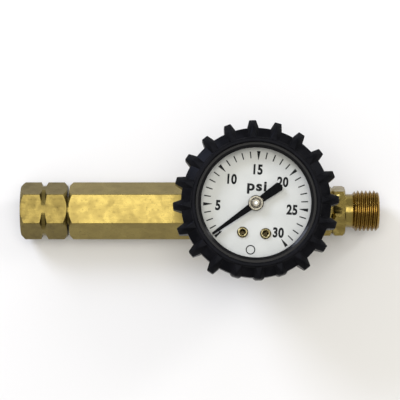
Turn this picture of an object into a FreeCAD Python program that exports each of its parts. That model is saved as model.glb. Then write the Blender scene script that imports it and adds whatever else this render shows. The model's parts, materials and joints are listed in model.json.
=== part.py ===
import FreeCAD, Part

# In-line fuel-gas test gauge: a 40 mm Bourdon gauge, 0 to 30 psi, in a toothed rubber boot on a hex manifold.
#
# The origin lies on the manifold's rear flat, straight under the gauge. The manifold's axis runs along X,
# from the swivel nut at -X to the threaded outlet at +X, and the dial faces +Z. All sizes are in millimetres.
#
# A sketch on the XZ plane draws (x, radius) for a piece turned about the manifold's axis, and (radius, z)
# for a piece turned about the gauge's axis. Everything in the gauge is placed as seen on an upright dial,
# and then turned with it by gauge_turn, because the gauge was screwed in a little past upright.

import math
import os
import re

import Sketcher

# ---------------------------------------------------------------------------------------------------------
# Driving dimensions
# ---------------------------------------------------------------------------------------------------------
SIZES = {
    # pipe and fuel-gas threads
    "pipe_taper": (0.03125, "loss of radius per length of a 1:16 pipe thread"),
    "eighth_port": (5.05, "radius of a 1/8 pipe thread at the face it enters"),
    "quarter_port": (6.75, "radius of a 1/4 pipe thread at the face it enters"),
    "eighth_pitch": (0.9407, "27 threads per inch"),
    "fuel_pitch": (1.4111, "18 threads per inch"),
    "fuel_major": (7.12, "radius over the 9/16-18 thread"),
    "fuel_minor": (6.38, "radius inside the nut's thread"),
    "fuel_root": (6.25, "radius at the root of the outlet's thread"),
    "thread_crest": (0.25, "width of a thread's flat crest"),
    # manifold body
    "hex_flats": (17.4625, "11/16 inch hex bar of the body and the nut"),
    "corner_round": (0.25, "radius along the corners of the hex bar"),
    "body_left": (-64.3, "left end of the body"),
    "body_right": (22.9, "right end of the body"),
    "body_chamfer": (1.2, "length of the chamfer on the body's corners"),
    "body_bore": (3.175, "radius of the gas way"),
    "left_port_depth": (8.0, "depth of the 1/8 port"),
    "right_port_depth": (10.5, "depth of the 1/4 port"),
    # inlet nipple
    "nipple_tail": (7.0, "length of the nipple's thread in the body"),
    "nipple_bore": (2.0, "radius of its gas way"),
    "flange_radius": (6.2, "radius of the flange that the nut pulls on"),
    "flange_left": (-70.15, "flange face towards the nose"),
    "flange_right": (-68.15, "flange face towards the nut's shoulder"),
    "nose_radius": (5.6, "radius of the ball nose"),
    "nose_left": (-72.9, "tip of the ball nose"),
    "nose_round": (2.6, "rounding of the ball nose"),
    # swivel nut
    "nut_left": (-81.3, "mouth of the nut"),
    "nut_right": (-65.0, "back of the nut"),
    "nut_chamfer": (1.35, "length of the chamfer on the nut's corners"),
    "nut_shoulder": (-68.0, "inner face of the nut's back wall"),
    "nut_hole": (5.12, "radius of the hole that turns on the nipple"),
    "nut_relief": (7.2, "radius of the relief behind the thread"),
    "nut_thread_left": (-80.4, "first crest of the nut's thread"),
    "nut_mouth": (7.28, "radius of the nut's chamfered mouth"),
    "nut_turns": (5, "turns of the nut's thread"),
    "relief_slope": (1.0, "length of the slope from the last crest to the relief"),
    "notch_radius": (8.82, "radius at the floor of the left-hand-thread notch"),
    "notch_floor": (1.2, "width of the notch's floor"),
    "notch_mouth": (2.6, "width of the notch at the corners"),
    # outlet adapter
    "adapter_flats": (15.875, "5/8 inch hex bar"),
    "adapter_turn": (-13.0, "how far the adapter's hex stopped from the body's"),
    "adapter_hex_right": (32.1, "right end of the adapter's hex"),
    "adapter_chamfer": (0.9, "length of the chamfer on its corners"),
    "groove_middle": (27.7, "middle of the left-hand-thread groove"),
    "groove_mouth": (1.8, "width of that groove at the corners"),
    "groove_radius": (7.92, "radius at the bottom of that groove"),
    "adapter_tail": (9.5, "length of its thread in the body"),
    "adapter_bore": (2.5, "radius of its gas way"),
    "neck_radius": (5.85, "radius of the neck behind the thread"),
    "neck_right": (34.75, "end of the neck"),
    "outlet_first_crest": (35.3, "first crest of the outlet's thread"),
    "outlet_turns": (6, "turns of the outlet's thread"),
    "outlet_lead": (0.25, "height of the chamfer that leads onto the thread"),
    "outlet_right": (44.0, "end of the outlet"),
    "seat_mouth": (4.4, "radius of the conical seat at the outlet's end"),
    "seat_depth": (3.2, "depth of the conical seat"),
    # gauge stem and socket
    "gauge_turn": (-3.5, "turn of the gauge about its axis"),
    "stem_bottom": (10.9, "lower end of the stem's thread"),
    "stem_gap": (0.25, "plain stem between the manifold and the ring of thread that shows"),
    "eighth_depth": (0.52, "depth of a 1/8 pipe thread"),
    "stem_bore": (1.6, "radius of the gas way up the stem"),
    "stem_bore_top": (27.0, "upper end of that gas way"),
    "wrench_flats": (14.0, "square for the wrench"),
    "wrench_bottom": (19.2, "lower face of the square"),
    "spigot_radius": (6.0, "radius where the socket passes the case"),
    "socket_disc": (10.0, "radius of the socket's disc inside the case"),
    "socket_floor": (27.5, "top of that disc"),
    "boss_radius": (6.5, "radius of the boss under the movement"),
    "tower_left": (-6.5, "left side of the tower that holds the Bourdon tube"),
    "tower_right": (5.0, "right side of the tower"),
    "tower_outer": (-17.6, "lower side of the tower, as seen on the dial"),
    "tower_inner": (-12.8, "upper side of the tower, as seen on the dial"),
    "tower_top": (34.0, "top of the tower"),
    "passage_radius": (0.9, "radius of the slanting gas way to the tube"),
    "passage_ahead": (5.0, "degrees from the tube's fixed end to the gas way's mouth"),
    "passage_drop": (1.5, "how far below the tube's middle the gas way's mouth lies"),
    "seat_lead": (12.0, "degrees that the tube's seat opens before the tube's fixed end"),
    "seat_sweep": (30.0, "degrees that the tube's seat runs through the tower"),
    # case, bezel and lens
    "case_back": (24.0, "back of the case"),
    "case_radius": (20.0, "outer radius of the case"),
    "case_round": (2.0, "rounding of the case's back edge"),
    "sheet": (0.6, "thickness of the steel case"),
    "case_rim": (45.0, "front edge of the case"),
    "bezel_radius": (21.0, "outer radius of the bezel"),
    "bezel_back": (41.5, "back edge of the bezel's skirt"),
    "bezel_front": (48.0, "front of the bezel"),
    "bezel_opening": (18.3, "radius of the opening over the dial"),
    "bezel_lip": (1.0, "thickness of the bezel's lip"),
    "bezel_slope": (0.9, "width of the slope round the opening"),
    "slope_depth": (0.6, "depth of that slope"),
    "edge_bevel": (0.4, "bevel on the bezel's and the boot's edges"),
    "lens_radius": (19.9, "radius of the lens"),
    "lens_back": (45.5, "back of the lens"),
    "gasket_inner": (18.9, "inner radius of the lens gasket"),
    # dial
    "dial_radius": (18.9, "radius of the dial"),
    "dial_front": (42.5, "printed face of the dial"),
    "dial_sheet": (0.5, "thickness of the dial"),
    "dial_hole": (1.6, "radius of the dial's centre hole"),
    "rivet_side": (3.86, "dial rivets, left and right of the middle"),
    "rivet_down": (9.9, "dial rivets, below the middle"),
    "rivet_shank": (1.0, "radius of a dial rivet's shank"),
    "rivet_bore": (0.72, "radius of the hole in a dial rivet"),
    "rivet_head": (1.88, "radius of a dial rivet's head"),
    "rivet_height": (0.8, "height of a dial rivet's head"),
    "rivet_shoulder": (0.3, "width of the slope outside a rivet's head"),
    "shoulder_drop": (0.12, "depth of that slope's upper end"),
    "rivet_crown": (0.7, "distance from the head's edge to its crown"),
    "rivet_lip": (0.25, "bevel on the mouth of a rivet's hole"),
    "rivet_bottom": (40.0, "lower end of a dial rivet"),
    "pin_radius": (0.3, "radius of the stop pin"),
    "pin_reach": (15.5, "stop pin, distance from the middle"),
    "pin_angle": (222.3, "stop pin, direction on the dial"),
    "pin_top": (44.5, "top of the stop pin"),
    # movement
    "plate": (0.8, "thickness of the movement's plates"),
    "plate_below": (2.1, "plates, reach below the dial rivets"),
    "plate_left": (2.0, "plates, reach left of the left rivet"),
    "plate_right": (2.6, "plates, reach right of the right rivet"),
    "plate_side": (10.0, "plates, right edge beside the sector's arbor"),
    "plate_side_low": (-8.0, "plates, lower end of that edge"),
    "plate_side_high": (-4.6, "plates, upper end of that edge"),
    "plate_above": (2.2, "plates, reach round the upper pillar"),
    "plate_shoulder": (3.0, "plates, right end of the upper edge"),
    "plate_waist": (2.4, "plates, reach left of the left rivet above it"),
    "plate_waist_up": (-3.0, "plates, height of that corner"),
    "back_plate": (31.0, "back of the movement's back plate"),
    "front_plate": (37.8, "back of the movement's front plate"),
    "pillar_radius": (1.25, "radius of a movement pillar"),
    "stud_radius": (0.7, "radius of a pillar's spigot and of a post's stud"),
    "stud_depth": (1.5, "depth of a stud in its pillar"),
    "top_pillar_x": (-1.0, "upper pillar"),
    "top_pillar_y": (9.0, "upper pillar"),
    "post_radius": (1.6, "radius of a dial post"),
    "screw_side": (4.2, "movement screws, left and right of the middle"),
    "screw_up": (1.5, "movement screws, above the middle"),
    "screw_shank": (0.8, "radius of the movement and case screws"),
    "screw_head": (1.5, "radius of their heads"),
    "head_height": (1.0, "height of their heads"),
    "head_bevel": (0.2, "bevel on their heads"),
    "movement_screw_depth": (2.5, "depth of the movement screws in the boss"),
    "slot_width": (0.4, "width of a screwdriver slot"),
    "case_screw_side": (8.6, "case screws, left and right of the middle"),
    "case_screw_depth": (3.0, "depth of the case screws in the socket"),
    # pointer and its arbor
    "arbor_radius": (0.6, "radius of the arbor in the front plate"),
    "arbor_bottom": (31.1, "lower end of the arbor"),
    "arbor_shoulder": (31.95, "shoulder above the lower pivot"),
    "arbor_top": (45.1, "upper end of the arbor"),
    "pivot_radius": (0.35, "radius of the arbor's lower pivot"),
    "running_gap": (0.04, "radial play of every turning pivot"),
    "pointer_back": (43.9, "back of the pointer"),
    "pointer_sheet": (0.4, "thickness of the pointer"),
    "pointer_angle": (218.8, "direction of the pointer at rest on the dial"),
    "pointer_reach": (17.9, "length of the pointer"),
    "pointer_tail": (10.4, "length of its tail"),
    "pointer_waist": (1.15, "half width of the pointer at the hub"),
    "pointer_tip": (0.4, "half width of its tip"),
    "tip_taper": (0.3, "length of the point at its tip"),
    "tail_root": (1.1, "half width of the tail at the hub"),
    "tail_end": (1.55, "half width of the tail's end"),
    "tail_corner": (0.7, "size of the bevels on the tail's corners"),
    "pointer_boss": (2.2, "radius of the pointer round the hub"),
    "hub_radius": (2.6, "radius of the hub's disc"),
    "hub_disc_top": (44.85, "top of the hub's disc"),
    "hub_edge": (0.15, "bevels on the hub's disc"),
    "hub_dish": (0.35, "width of the dish round the hub's middle"),
    "dish_depth": (0.08, "depth of that dish"),
    "nose_bevel": (0.25, "width of the slope round the hub's raised middle"),
    "arbor_proud": (0.05, "how far the arbor stands out of the hub"),
    "hub_nose": (1.4, "radius of the hub's raised middle"),
    "hub_bush": (1.0, "radius of the hub below the pointer"),
    "hub_bottom": (43.3, "lower end of the hub"),
    # gear pair
    "gear_module": (0.16, "module of the gear pair"),
    "pinion_teeth": (10, "teeth on the pinion"),
    "sector_teeth": (120, "teeth that the sector would have on a full circle"),
    "gear_back": (33.4, "back of the sector"),
    "gear_sheet": (0.6, "thickness of the sector"),
    "gear_overhang": (0.4, "how far the pinion and the sector's hub pass the sector on each side"),
    "tooth_foot": (0.09, "half width of a gear tooth at its root"),
    "tooth_head": (0.035, "half width of a gear tooth at its tip"),
    "tooth_above": (0.8, "height of a gear tooth above the pitch circle, in modules"),
    "tooth_below": (1.25, "depth of a gear tooth below the pitch circle, in modules"),
    "sector_angle": (-42.0, "direction of the sector's arbor on the dial"),
    "sector_arbor": (0.6, "radius of the sector's arbor"),
    "sector_pivot": (0.4, "radius of its pivots"),
    "sector_hub": (1.4, "radius of the sector's hub"),
    "sector_travel": (22.5, "degrees that the sector turns while the pointer crosses the scale"),
    "rim_teeth": (10, "teeth on the sector's rim"),
    "spare_teeth": (2, "teeth past the pinion when the pointer is at rest"),
    "rim_width": (1.3, "width of the sector's rim below its teeth"),
    "arm_spread": (1.2, "radians from the rim's ends to the arms' feet on the hub"),
    "window_outer": (0.09, "radians of metal beside the window at the rim"),
    "window_inner": (0.144, "radians of metal beside the window at the hub"),
    "arbor_shake": (0.15, "end play of the sector's arbor"),
    "pivot_short": (0.1, "how far its front pivot stays below the plate's face"),
    "arm_length": (4.0, "sector's arbor to the link pin"),
    "arm_half": (0.9, "half width of the sector's arm"),
    "arm_eye": (0.75, "wall round the pin's hole in the arm"),
    # Bourdon tube and linkage
    "tube_radius": (15.5, "middle radius of the coiled tube"),
    "tube_wide": (6.0, "width of the flattened tube, along the gauge's axis"),
    "tube_thick": (2.2, "thickness of the flattened tube"),
    "tube_wall": (0.35, "wall of the tube"),
    "tube_bevel": (0.35, "bevel of the tube's edges, as a share of its thickness"),
    "tube_middle": (29.5, "height of the tube's middle"),
    "tube_end": (-5.0, "direction of the tube's free end on the dial"),
    "tube_sweep": (255.0, "angle that the tube runs through"),
    "tube_held": (10.0, "degrees of the tube inside the tower"),
    "tip_wall": (0.2, "how far the end piece stands out round the tube"),
    "tip_length": (1.8, "length of the end piece"),
    "lug_sheet": (0.6, "thickness of the lug on the end piece"),
    "lug_below": (0.8, "distance from the lug's back to the link"),
    "lug_wall": (0.9, "reach of the lug past the pin's middle"),
    "link_angle": (71.9, "direction of the link on the dial"),
    "link_length": (7.5, "length of the link between its pins"),
    "link_back": (34.5, "back of the link"),
    "link_sheet": (0.4, "thickness of the link"),
    "link_half": (0.55, "half width of the link"),
    "link_eye": (0.6, "wall round the pins' holes in the link"),
    "link_pin": (0.45, "radius of the link's pins"),
    "link_pin_head": (0.8, "radius of their heads"),
    "pin_head_gap": (0.2, "gap between the link and the pins' heads"),
    "pin_head_height": (0.3, "height of the pins' heads"),
    "link_open": (0.15, "play of the link on the tube's pin"),
    # hairspring
    "spring_inner": (1.2, "radius where the hairspring starts, on its collet"),
    "spring_outer": (5.0, "radius where it ends, at its stud"),
    "spring_turns": (6, "turns of the hairspring"),
    "spring_strip": (0.12, "thickness of its strip"),
    "spring_back": (35.5, "back of the hairspring"),
    "spring_width": (0.5, "width of its strip"),
    "collet_overhang": (0.2, "how far the collet passes the strip on each side"),
    "spring_stud": (0.5, "radius of the stud at the hairspring's end"),
    # rubber boot
    "boot_hole": (11.0, "radius of the boot's hole round the stem"),
    "boot_back": (22.0, "back of the boot"),
    "boot_side": (22.6, "radius of the boot's side"),
    "boot_round": (2.0, "bevel on the boot's back edge"),
    "boot_swell": (0.4, "growth of the boot's side up to its ring"),
    "swell_top": (36.0, "where the side meets the ring's slope"),
    "ring_back": (40.0, "back of the ring"),
    "boot_ring": (25.0, "radius of the boot's ring"),
    "ring_front": (46.2, "front edge of the ring's side"),
    "ring_bevel": (0.5, "width of the bevel on that edge"),
    "ring_face": (46.8, "outer edge of the ring's front face"),
    "ring_inner": (48.2, "inner edge of the ring's front face"),
    "bead_foot": (0.3, "width of the slope from the ring's face to the bead"),
    "bead_side": (48.6, "top of that slope"),
    "case_fit": (0.58, "place of the boot's inner bevel, as a share of the case's rounding"),
    "boot_lip": (20.1, "inner radius of the lip over the bezel"),
    "boot_bead": (21.4, "outer radius of the bead on the lip"),
    "boot_front": (49.0, "front of the bead"),
    "tooth_count": (20, "teeth round the boot"),
    "tooth_turn": (2.25, "direction of the first tooth above the right"),
    "tooth_start": (21.3, "radius where a tooth starts"),
    "start_half": (1.35, "half width of a tooth there"),
    "start_front": (48.5, "front of a tooth there"),
    "start_back": (40.0, "back of a tooth there"),
    "ridge_reach": (25.4, "radius where a tooth's front facets meet"),
    "ridge_front": (48.2, "height where they meet"),
    "shoulder_half": (1.95, "half width of a tooth at the ring's side"),
    "shoulder_front": (46.3, "front of a tooth there"),
    "shoulder_back": (35.5, "back of a tooth there"),
    "end_half": (1.15, "half width of a tooth's end"),
    "end_front": (45.6, "front of a tooth's end"),
    "end_back": (38.5, "back of a tooth's end"),
    "tooth_tip": (27.7, "radius over the teeth"),
    "trimmed_tip": (25.7, "radius over the three trimmed teeth"),
    "trimmed_first": (14, "first trimmed tooth, counted from the first tooth"),
    "trimmed_count": (3, "trimmed teeth"),
}

doc = FreeCAD.newDocument("TestGauge")
sheet = doc.addObject("Spreadsheet::Sheet", "Sizes")
for row, (alias, (amount, meaning)) in enumerate(SIZES.items(), start=1):
    sheet.set("A%d" % row, meaning)
    sheet.set("B%d" % row, str(amount))
    sheet.setAlias("B%d" % row, alias)
doc.recompute()

subparts = []


# ---------------------------------------------------------------------------------------------------------
# Helpers
# ---------------------------------------------------------------------------------------------------------
def bound(expression):
    """Write an expression of plain aliases as FreeCAD reads it from another object."""
    def full_name(word):
        return "Sizes." + word[0] if word[0] in SIZES else word[0]

    return re.sub(r"[a-z_]+", full_name, expression)


def number(expression):
    """Work out an expression with the sheet's present values."""
    return float(sheet.evalExpression(bound(expression)))


def place(piece, x="0", y="0", z="0", turn="0"):
    """Put a piece at a point, turned about Z, with both bound to the sheet."""
    upright = FreeCAD.Rotation(FreeCAD.Vector(0, 0, 1), number(turn) or 360.0)
    piece.Placement = FreeCAD.Placement(FreeCAD.Vector(number(x), number(y), number(z)), upright)
    for axis, expression in (("x", x), ("y", y), ("z", z)):
        piece.setExpression(".Placement.Base." + axis, bound(expression))


def in_gauge(piece, x="0", y="0", z="0", turn="0"):
    """Put a piece at a point of the upright dial, and turn it with the gauge."""
    across = "(%s) * cos(gauge_turn) - (%s) * sin(gauge_turn)" % (x, y)
    up = "(%s) * sin(gauge_turn) + (%s) * cos(gauge_turn)" % (x, y)
    place(piece, across, up, z, "gauge_turn + (%s)" % turn)
    return piece


def on_manifold(piece):
    """Put a piece drawn about X on the manifold's axis."""
    place(piece, z="hex_flats / 2")
    return piece


def keep(piece):
    """List a finished sub-part for checking and writing."""
    subparts.append(piece)
    return piece


def new_body(label):
    body = doc.addObject("PartDesign::Body", label)
    body.Label = label
    return body


def new_sketch(body, plane, raised="0", swung="0"):
    """Attach a sketch to one of the body's own origin planes, moved along its normal or swung about the
    plane's vertical axis."""
    sketch = body.newObject("Sketcher::SketchObject", body.Label + "_outline")
    sketch.AttachmentSupport = ([face for face in body.Origin.OriginFeatures if face.Role == plane][0], [""])
    sketch.MapMode = "FlatFace"
    swing = FreeCAD.Rotation(FreeCAD.Vector(0, 1, 0), number(swung))
    sketch.AttachmentOffset = FreeCAD.Placement(FreeCAD.Vector(0, 0, number(raised)), swing)
    sketch.setExpression(".AttachmentOffset.Base.z", bound(raised))
    return sketch


def draw_outline(sketch, outline):
    """Draw a closed outline of straight lines, with each corner's two places bound to the sheet."""
    corners = [FreeCAD.Vector(number(across), number(up), 0) for across, up in outline]
    first = sketch.GeometryCount
    count = len(corners)
    lines = [Part.LineSegment(corners[i], corners[(i + 1) % count]) for i in range(count)]
    sketch.addGeometry(lines, False)
    joins = []
    for i in range(count):
        joins.append(Sketcher.Constraint("Coincident", first + i, 2, first + (i + 1) % count, 1))
    sketch.addConstraint(joins)
    places = []
    for i, corner in enumerate(corners):
        places.append(Sketcher.Constraint("DistanceX", -1, 1, first + i, 1, corner.x))
        places.append(Sketcher.Constraint("DistanceY", -1, 1, first + i, 1, corner.y))
    numbers = sketch.addConstraint(places)
    for i, (across, up) in enumerate(outline):
        sketch.setExpression("Constraints[%d]" % numbers[2 * i], bound(across))
        sketch.setExpression("Constraints[%d]" % numbers[2 * i + 1], bound(up))


def draw_circle(sketch, across, up, radius):
    middle = FreeCAD.Vector(number(across), number(up), 0)
    circle = sketch.addGeometry(Part.Circle(middle, FreeCAD.Vector(0, 0, 1), number(radius)), False)
    sized = sketch.addConstraint(Sketcher.Constraint("Radius", circle, number(radius)))
    sketch.setExpression("Constraints[%d]" % sized, bound(radius))
    for kind, expression in (("DistanceX", across), ("DistanceY", up)):
        set_to = sketch.addConstraint(Sketcher.Constraint(kind, -1, 1, circle, 3, number(expression)))
        sketch.setExpression("Constraints[%d]" % set_to, bound(expression))


def turn_profile(body, kind, axis, outline, sweep="360", swung="0"):
    """Add a Revolution or a Groove of an outline on the XZ plane. The axis is H_Axis for the manifold's and
    V_Axis for the gauge's."""
    sketch = new_sketch(body, "XZ_Plane", swung=swung)
    draw_outline(sketch, outline)
    feature = body.newObject("PartDesign::" + kind, body.Label + "_" + kind.lower())
    feature.Profile = sketch
    feature.ReferenceAxis = (sketch, [axis])
    feature.Angle = number(sweep)
    feature.setExpression("Angle", bound(sweep))
    doc.recompute()
    return feature


def turned(label, axis, outline):
    """Make a turned piece."""
    body = new_body(label)
    turn_profile(body, "Revolution", axis, outline)
    return body


def cut_turned(body, axis, outline):
    """Take a turned shape out of a body, and make sure that something was cut."""
    before = body.Shape.Volume
    turn_profile(body, "Groove", axis, outline)
    assert body.Shape.Volume < before, body.Label + ": the groove cut nothing"


def pad(body, plane, start, length, outline=None, circles=()):
    """Add a Pad from a height along the plane's normal."""
    sketch = new_sketch(body, plane, raised=start)
    if outline:
        draw_outline(sketch, outline)
    for circle in circles:
        draw_circle(sketch, *circle)
    feature = body.newObject("PartDesign::Pad", body.Label + "_pad")
    feature.Profile = sketch
    feature.Length = number(length)
    feature.setExpression("Length", bound(length))
    doc.recompute()
    return feature


def pocket(body, top, depth, outline=None, circles=()):
    """Cut downwards from a height, and make sure that something was cut."""
    before = body.Shape.Volume
    sketch = new_sketch(body, "XY_Plane", raised=top)
    if outline:
        draw_outline(sketch, outline)
    for circle in circles:
        draw_circle(sketch, *circle)
    feature = body.newObject("PartDesign::Pocket", body.Label + "_pocket")
    feature.Profile = sketch
    feature.Length = number(depth)
    feature.setExpression("Length", bound(depth))
    doc.recompute()
    assert body.Shape.Volume < before, body.Label + ": the pocket cut nothing"


def round_edges(body, radius, wanted):
    """Fillet the edges that the wanted function picks."""
    tip = body.Tip
    names = ["Edge%d" % n for n, edge in enumerate(tip.Shape.Edges, start=1) if wanted(edge)]
    feature = body.newObject("PartDesign::Fillet", body.Label + "_fillet")
    feature.Base = (tip, names)
    feature.Radius = number(radius)
    feature.setExpression("Radius", bound(radius))
    doc.recompute()


def circle_at(radius, height, axis="z"):
    """Pick full circles of a radius whose middle is at a height along an axis, in the body's own frame."""
    size = number(radius)
    level = number(height)

    def wanted(edge):
        if not isinstance(edge.Curve, Part.Circle) or abs(edge.Curve.Radius - size) > 0.01:
            return False
        return abs(getattr(edge.Curve.Center, axis) - level) < 0.01

    return wanted


def shape_piece(label, shape):
    """Hold a shape that sketches and primitives don't reach."""
    piece = doc.addObject("Part::Feature", label)
    piece.Label = label
    piece.Shape = shape
    return piece


def polar(reach, angle):
    """A point of the upright dial, as two expressions."""
    return "%s * cos(%s)" % (reach, angle), "%s * sin(%s)" % (reach, angle)


def rectangle(left, right, low, high):
    return [(left, low), (right, low), (right, high), (left, high)]


# ---------------------------------------------------------------------------------------------------------
# Manifold
# ---------------------------------------------------------------------------------------------------------
def hexagon(flats):
    """The corners of a hexagon with flats above and below."""
    corner = "%s / sqrt(3)" % flats
    side = "%s / sqrt(12)" % flats
    half = "%s / 2" % flats
    return [
        (corner, "0"), (side, half), ("-" + side, half),
        ("-" + corner, "0"), ("-" + side, "-" + half), (side, "-" + half),
    ]


def hex_bar(label, flats, left, right):
    """A length of hex bar along X, with its long corners slightly rounded."""
    body = new_body(label)
    pad(body, "YZ_Plane", left, "%s - %s" % (right, left), hexagon(flats))
    round_edges(body, "corner_round", lambda edge: edge.BoundBox.XLength > 1)
    return body


def chamfer_end(body, flats, face, inwards, size):
    """Turn the corners of a hex bar off at 45 degrees. Inwards is + or -, from the face into the bar."""
    corner = "%s / sqrt(3)" % flats
    start = "%s %s %s" % (face, inwards, size)
    cut_turned(body, "H_Axis", [
        (face, "%s - %s" % (corner, size)),
        (start, corner),
        (start, corner + " + 1"),
        (face, corner + " + 1"),
    ])


def thread_steps(first_crest, turns, crest_radius, root_radius):
    """Outline points of thread rings: crest, root, crest, root."""
    flank = "(fuel_pitch - 2 * thread_crest) / 2"
    points = []
    for turn in range(int(number(turns))):
        crest = "%s + %d * fuel_pitch" % (first_crest, turn)
        points.append((crest, crest_radius))
        points.append((crest + " + thread_crest", crest_radius))
        points.append((crest + " + thread_crest + " + flank, root_radius))
        points.append((crest + " + 2 * thread_crest + " + flank, root_radius))
    return points


def manifold_body():
    body = hex_bar("manifold_body", "hex_flats", "body_left", "body_right")
    chamfer_end(body, "hex_flats", "body_left", "+", "body_chamfer")
    chamfer_end(body, "hex_flats", "body_right", "-", "body_chamfer")
    left_end = "body_left + left_port_depth"
    right_end = "body_right - right_port_depth"
    cut_turned(body, "H_Axis", [
        ("body_left", "0"),
        ("body_left", "eighth_port"),
        (left_end, "eighth_port - left_port_depth * pipe_taper"),
        (left_end, "body_bore"),
        (right_end, "body_bore"),
        (right_end, "quarter_port - right_port_depth * pipe_taper"),
        ("body_right", "quarter_port"),
        ("body_right", "0"),
    ])
    cut_turned(body, "V_Axis", [
        ("0", "0"),
        ("eighth_port - hex_flats / 2 * pipe_taper", "0"),
        ("eighth_port", "hex_flats / 2"),
        ("0", "hex_flats / 2"),
    ])
    keep(on_manifold(body))


def inlet_nipple():
    tail_end = "body_left + nipple_tail"
    body = turned("inlet_nipple", "H_Axis", [
        ("nose_left", "nipple_bore"),
        ("nose_left", "nose_radius"),
        ("flange_left", "nose_radius"),
        ("flange_left", "flange_radius"),
        ("flange_right", "flange_radius"),
        ("flange_right", "eighth_port"),
        ("body_left", "eighth_port"),
        (tail_end, "eighth_port - nipple_tail * pipe_taper"),
        (tail_end, "nipple_bore"),
    ])
    round_edges(body, "nose_round", circle_at("nose_radius", "nose_left", "x"))
    keep(on_manifold(body))


def swivel_nut():
    body = hex_bar("swivel_nut", "hex_flats", "nut_left", "nut_right")
    chamfer_end(body, "hex_flats", "nut_left", "+", "nut_chamfer")
    chamfer_end(body, "hex_flats", "nut_right", "-", "nut_chamfer")
    middle = "(nut_left + nut_right) / 2"
    corner = "hex_flats / sqrt(3)"
    cut_turned(body, "H_Axis", [
        (middle + " - notch_mouth / 2", corner),
        (middle + " - notch_floor / 2", "notch_radius"),
        (middle + " + notch_floor / 2", "notch_radius"),
        (middle + " + notch_mouth / 2", corner),
    ])
    thread_end = "nut_thread_left + nut_turns * fuel_pitch"
    bore = [("nut_left", "0"), ("nut_left", "nut_mouth")]
    bore += thread_steps("nut_thread_left", "nut_turns", "fuel_minor", "fuel_major")
    bore += [
        (thread_end, "fuel_minor"),
        (thread_end + " + thread_crest", "fuel_minor"),
        (thread_end + " + relief_slope", "nut_relief"),
        ("nut_shoulder", "nut_relief"),
        ("nut_shoulder", "nut_hole"),
        ("nut_right", "nut_hole"),
        ("nut_right", "0"),
    ]
    cut_turned(body, "H_Axis", bore)
    keep(on_manifold(body))


def outlet_adapter():
    body = hex_bar("outlet_adapter", "adapter_flats", "body_right", "adapter_hex_right")
    chamfer_end(body, "adapter_flats", "adapter_hex_right", "-", "adapter_chamfer")
    corner = "adapter_flats / sqrt(3)"
    cut_turned(body, "H_Axis", [
        ("groove_middle - groove_mouth / 2", corner),
        ("groove_middle", "groove_radius"),
        ("groove_middle + groove_mouth / 2", corner),
    ])
    thread_end = "outlet_first_crest + outlet_turns * fuel_pitch"
    outline = [
        ("body_right", "adapter_bore"),
        ("body_right - adapter_tail", "adapter_bore"),
        ("body_right - adapter_tail", "quarter_port - adapter_tail * pipe_taper"),
        ("body_right", "quarter_port"),
        ("adapter_hex_right", "quarter_port"),
        ("adapter_hex_right", "neck_radius"),
        ("neck_right", "neck_radius"),
    ]
    outline += thread_steps("outlet_first_crest", "outlet_turns", "fuel_major", "fuel_root")
    outline += [
        (thread_end, "fuel_root + outlet_lead"),
        ("outlet_right", "fuel_root"),
        ("outlet_right", "seat_mouth"),
        ("outlet_right - seat_depth", "adapter_bore"),
    ]
    turn_profile(body, "Revolution", "H_Axis", outline)
    cut_turned(body, "H_Axis", [
        ("body_right - 1", "0"),
        ("body_right - 1", "adapter_bore"),
        ("adapter_hex_right + 1", "adapter_bore"),
        ("adapter_hex_right + 1", "0"),
    ])
    place(body, z="hex_flats / 2")
    body.Placement.Rotation = FreeCAD.Rotation(FreeCAD.Vector(1, 0, 0), number("adapter_turn"))
    body.setExpression(".Placement.Rotation.Angle", bound("adapter_turn"))
    keep(body)


# ---------------------------------------------------------------------------------------------------------
# Gauge: socket, case, bezel, lens
# ---------------------------------------------------------------------------------------------------------
def tube_section(grow):
    """Corners of the flattened tube's section with its ends bevelled, grown or shrunk by an amount."""
    inner = "tube_radius - tube_thick / 2 - (%s)" % grow
    outer = "tube_radius + tube_thick / 2 + (%s)" % grow
    bevel = "tube_bevel * (tube_thick + 2 * (%s))" % grow
    low = "tube_middle - tube_wide / 2 - (%s)" % grow
    high = "tube_middle + tube_wide / 2 + (%s)" % grow
    return [
        (inner, "%s + %s" % (low, bevel)),
        ("%s + %s" % (inner, bevel), low),
        ("%s - %s" % (outer, bevel), low),
        (outer, "%s + %s" % (low, bevel)),
        (outer, "%s - %s" % (high, bevel)),
        ("%s - %s" % (outer, bevel), high),
        ("%s + %s" % (inner, bevel), high),
        (inner, "%s - %s" % (high, bevel)),
    ]


def stem_thread():
    """The one ring of the pipe thread that shows between the manifold's flat and the square."""
    bottom = "hex_flats + stem_gap"
    return [
        ("eighth_port", bottom),
        ("eighth_port - eighth_depth", bottom + " + eighth_pitch / 2"),
        ("eighth_port", bottom + " + eighth_pitch"),
    ]


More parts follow.
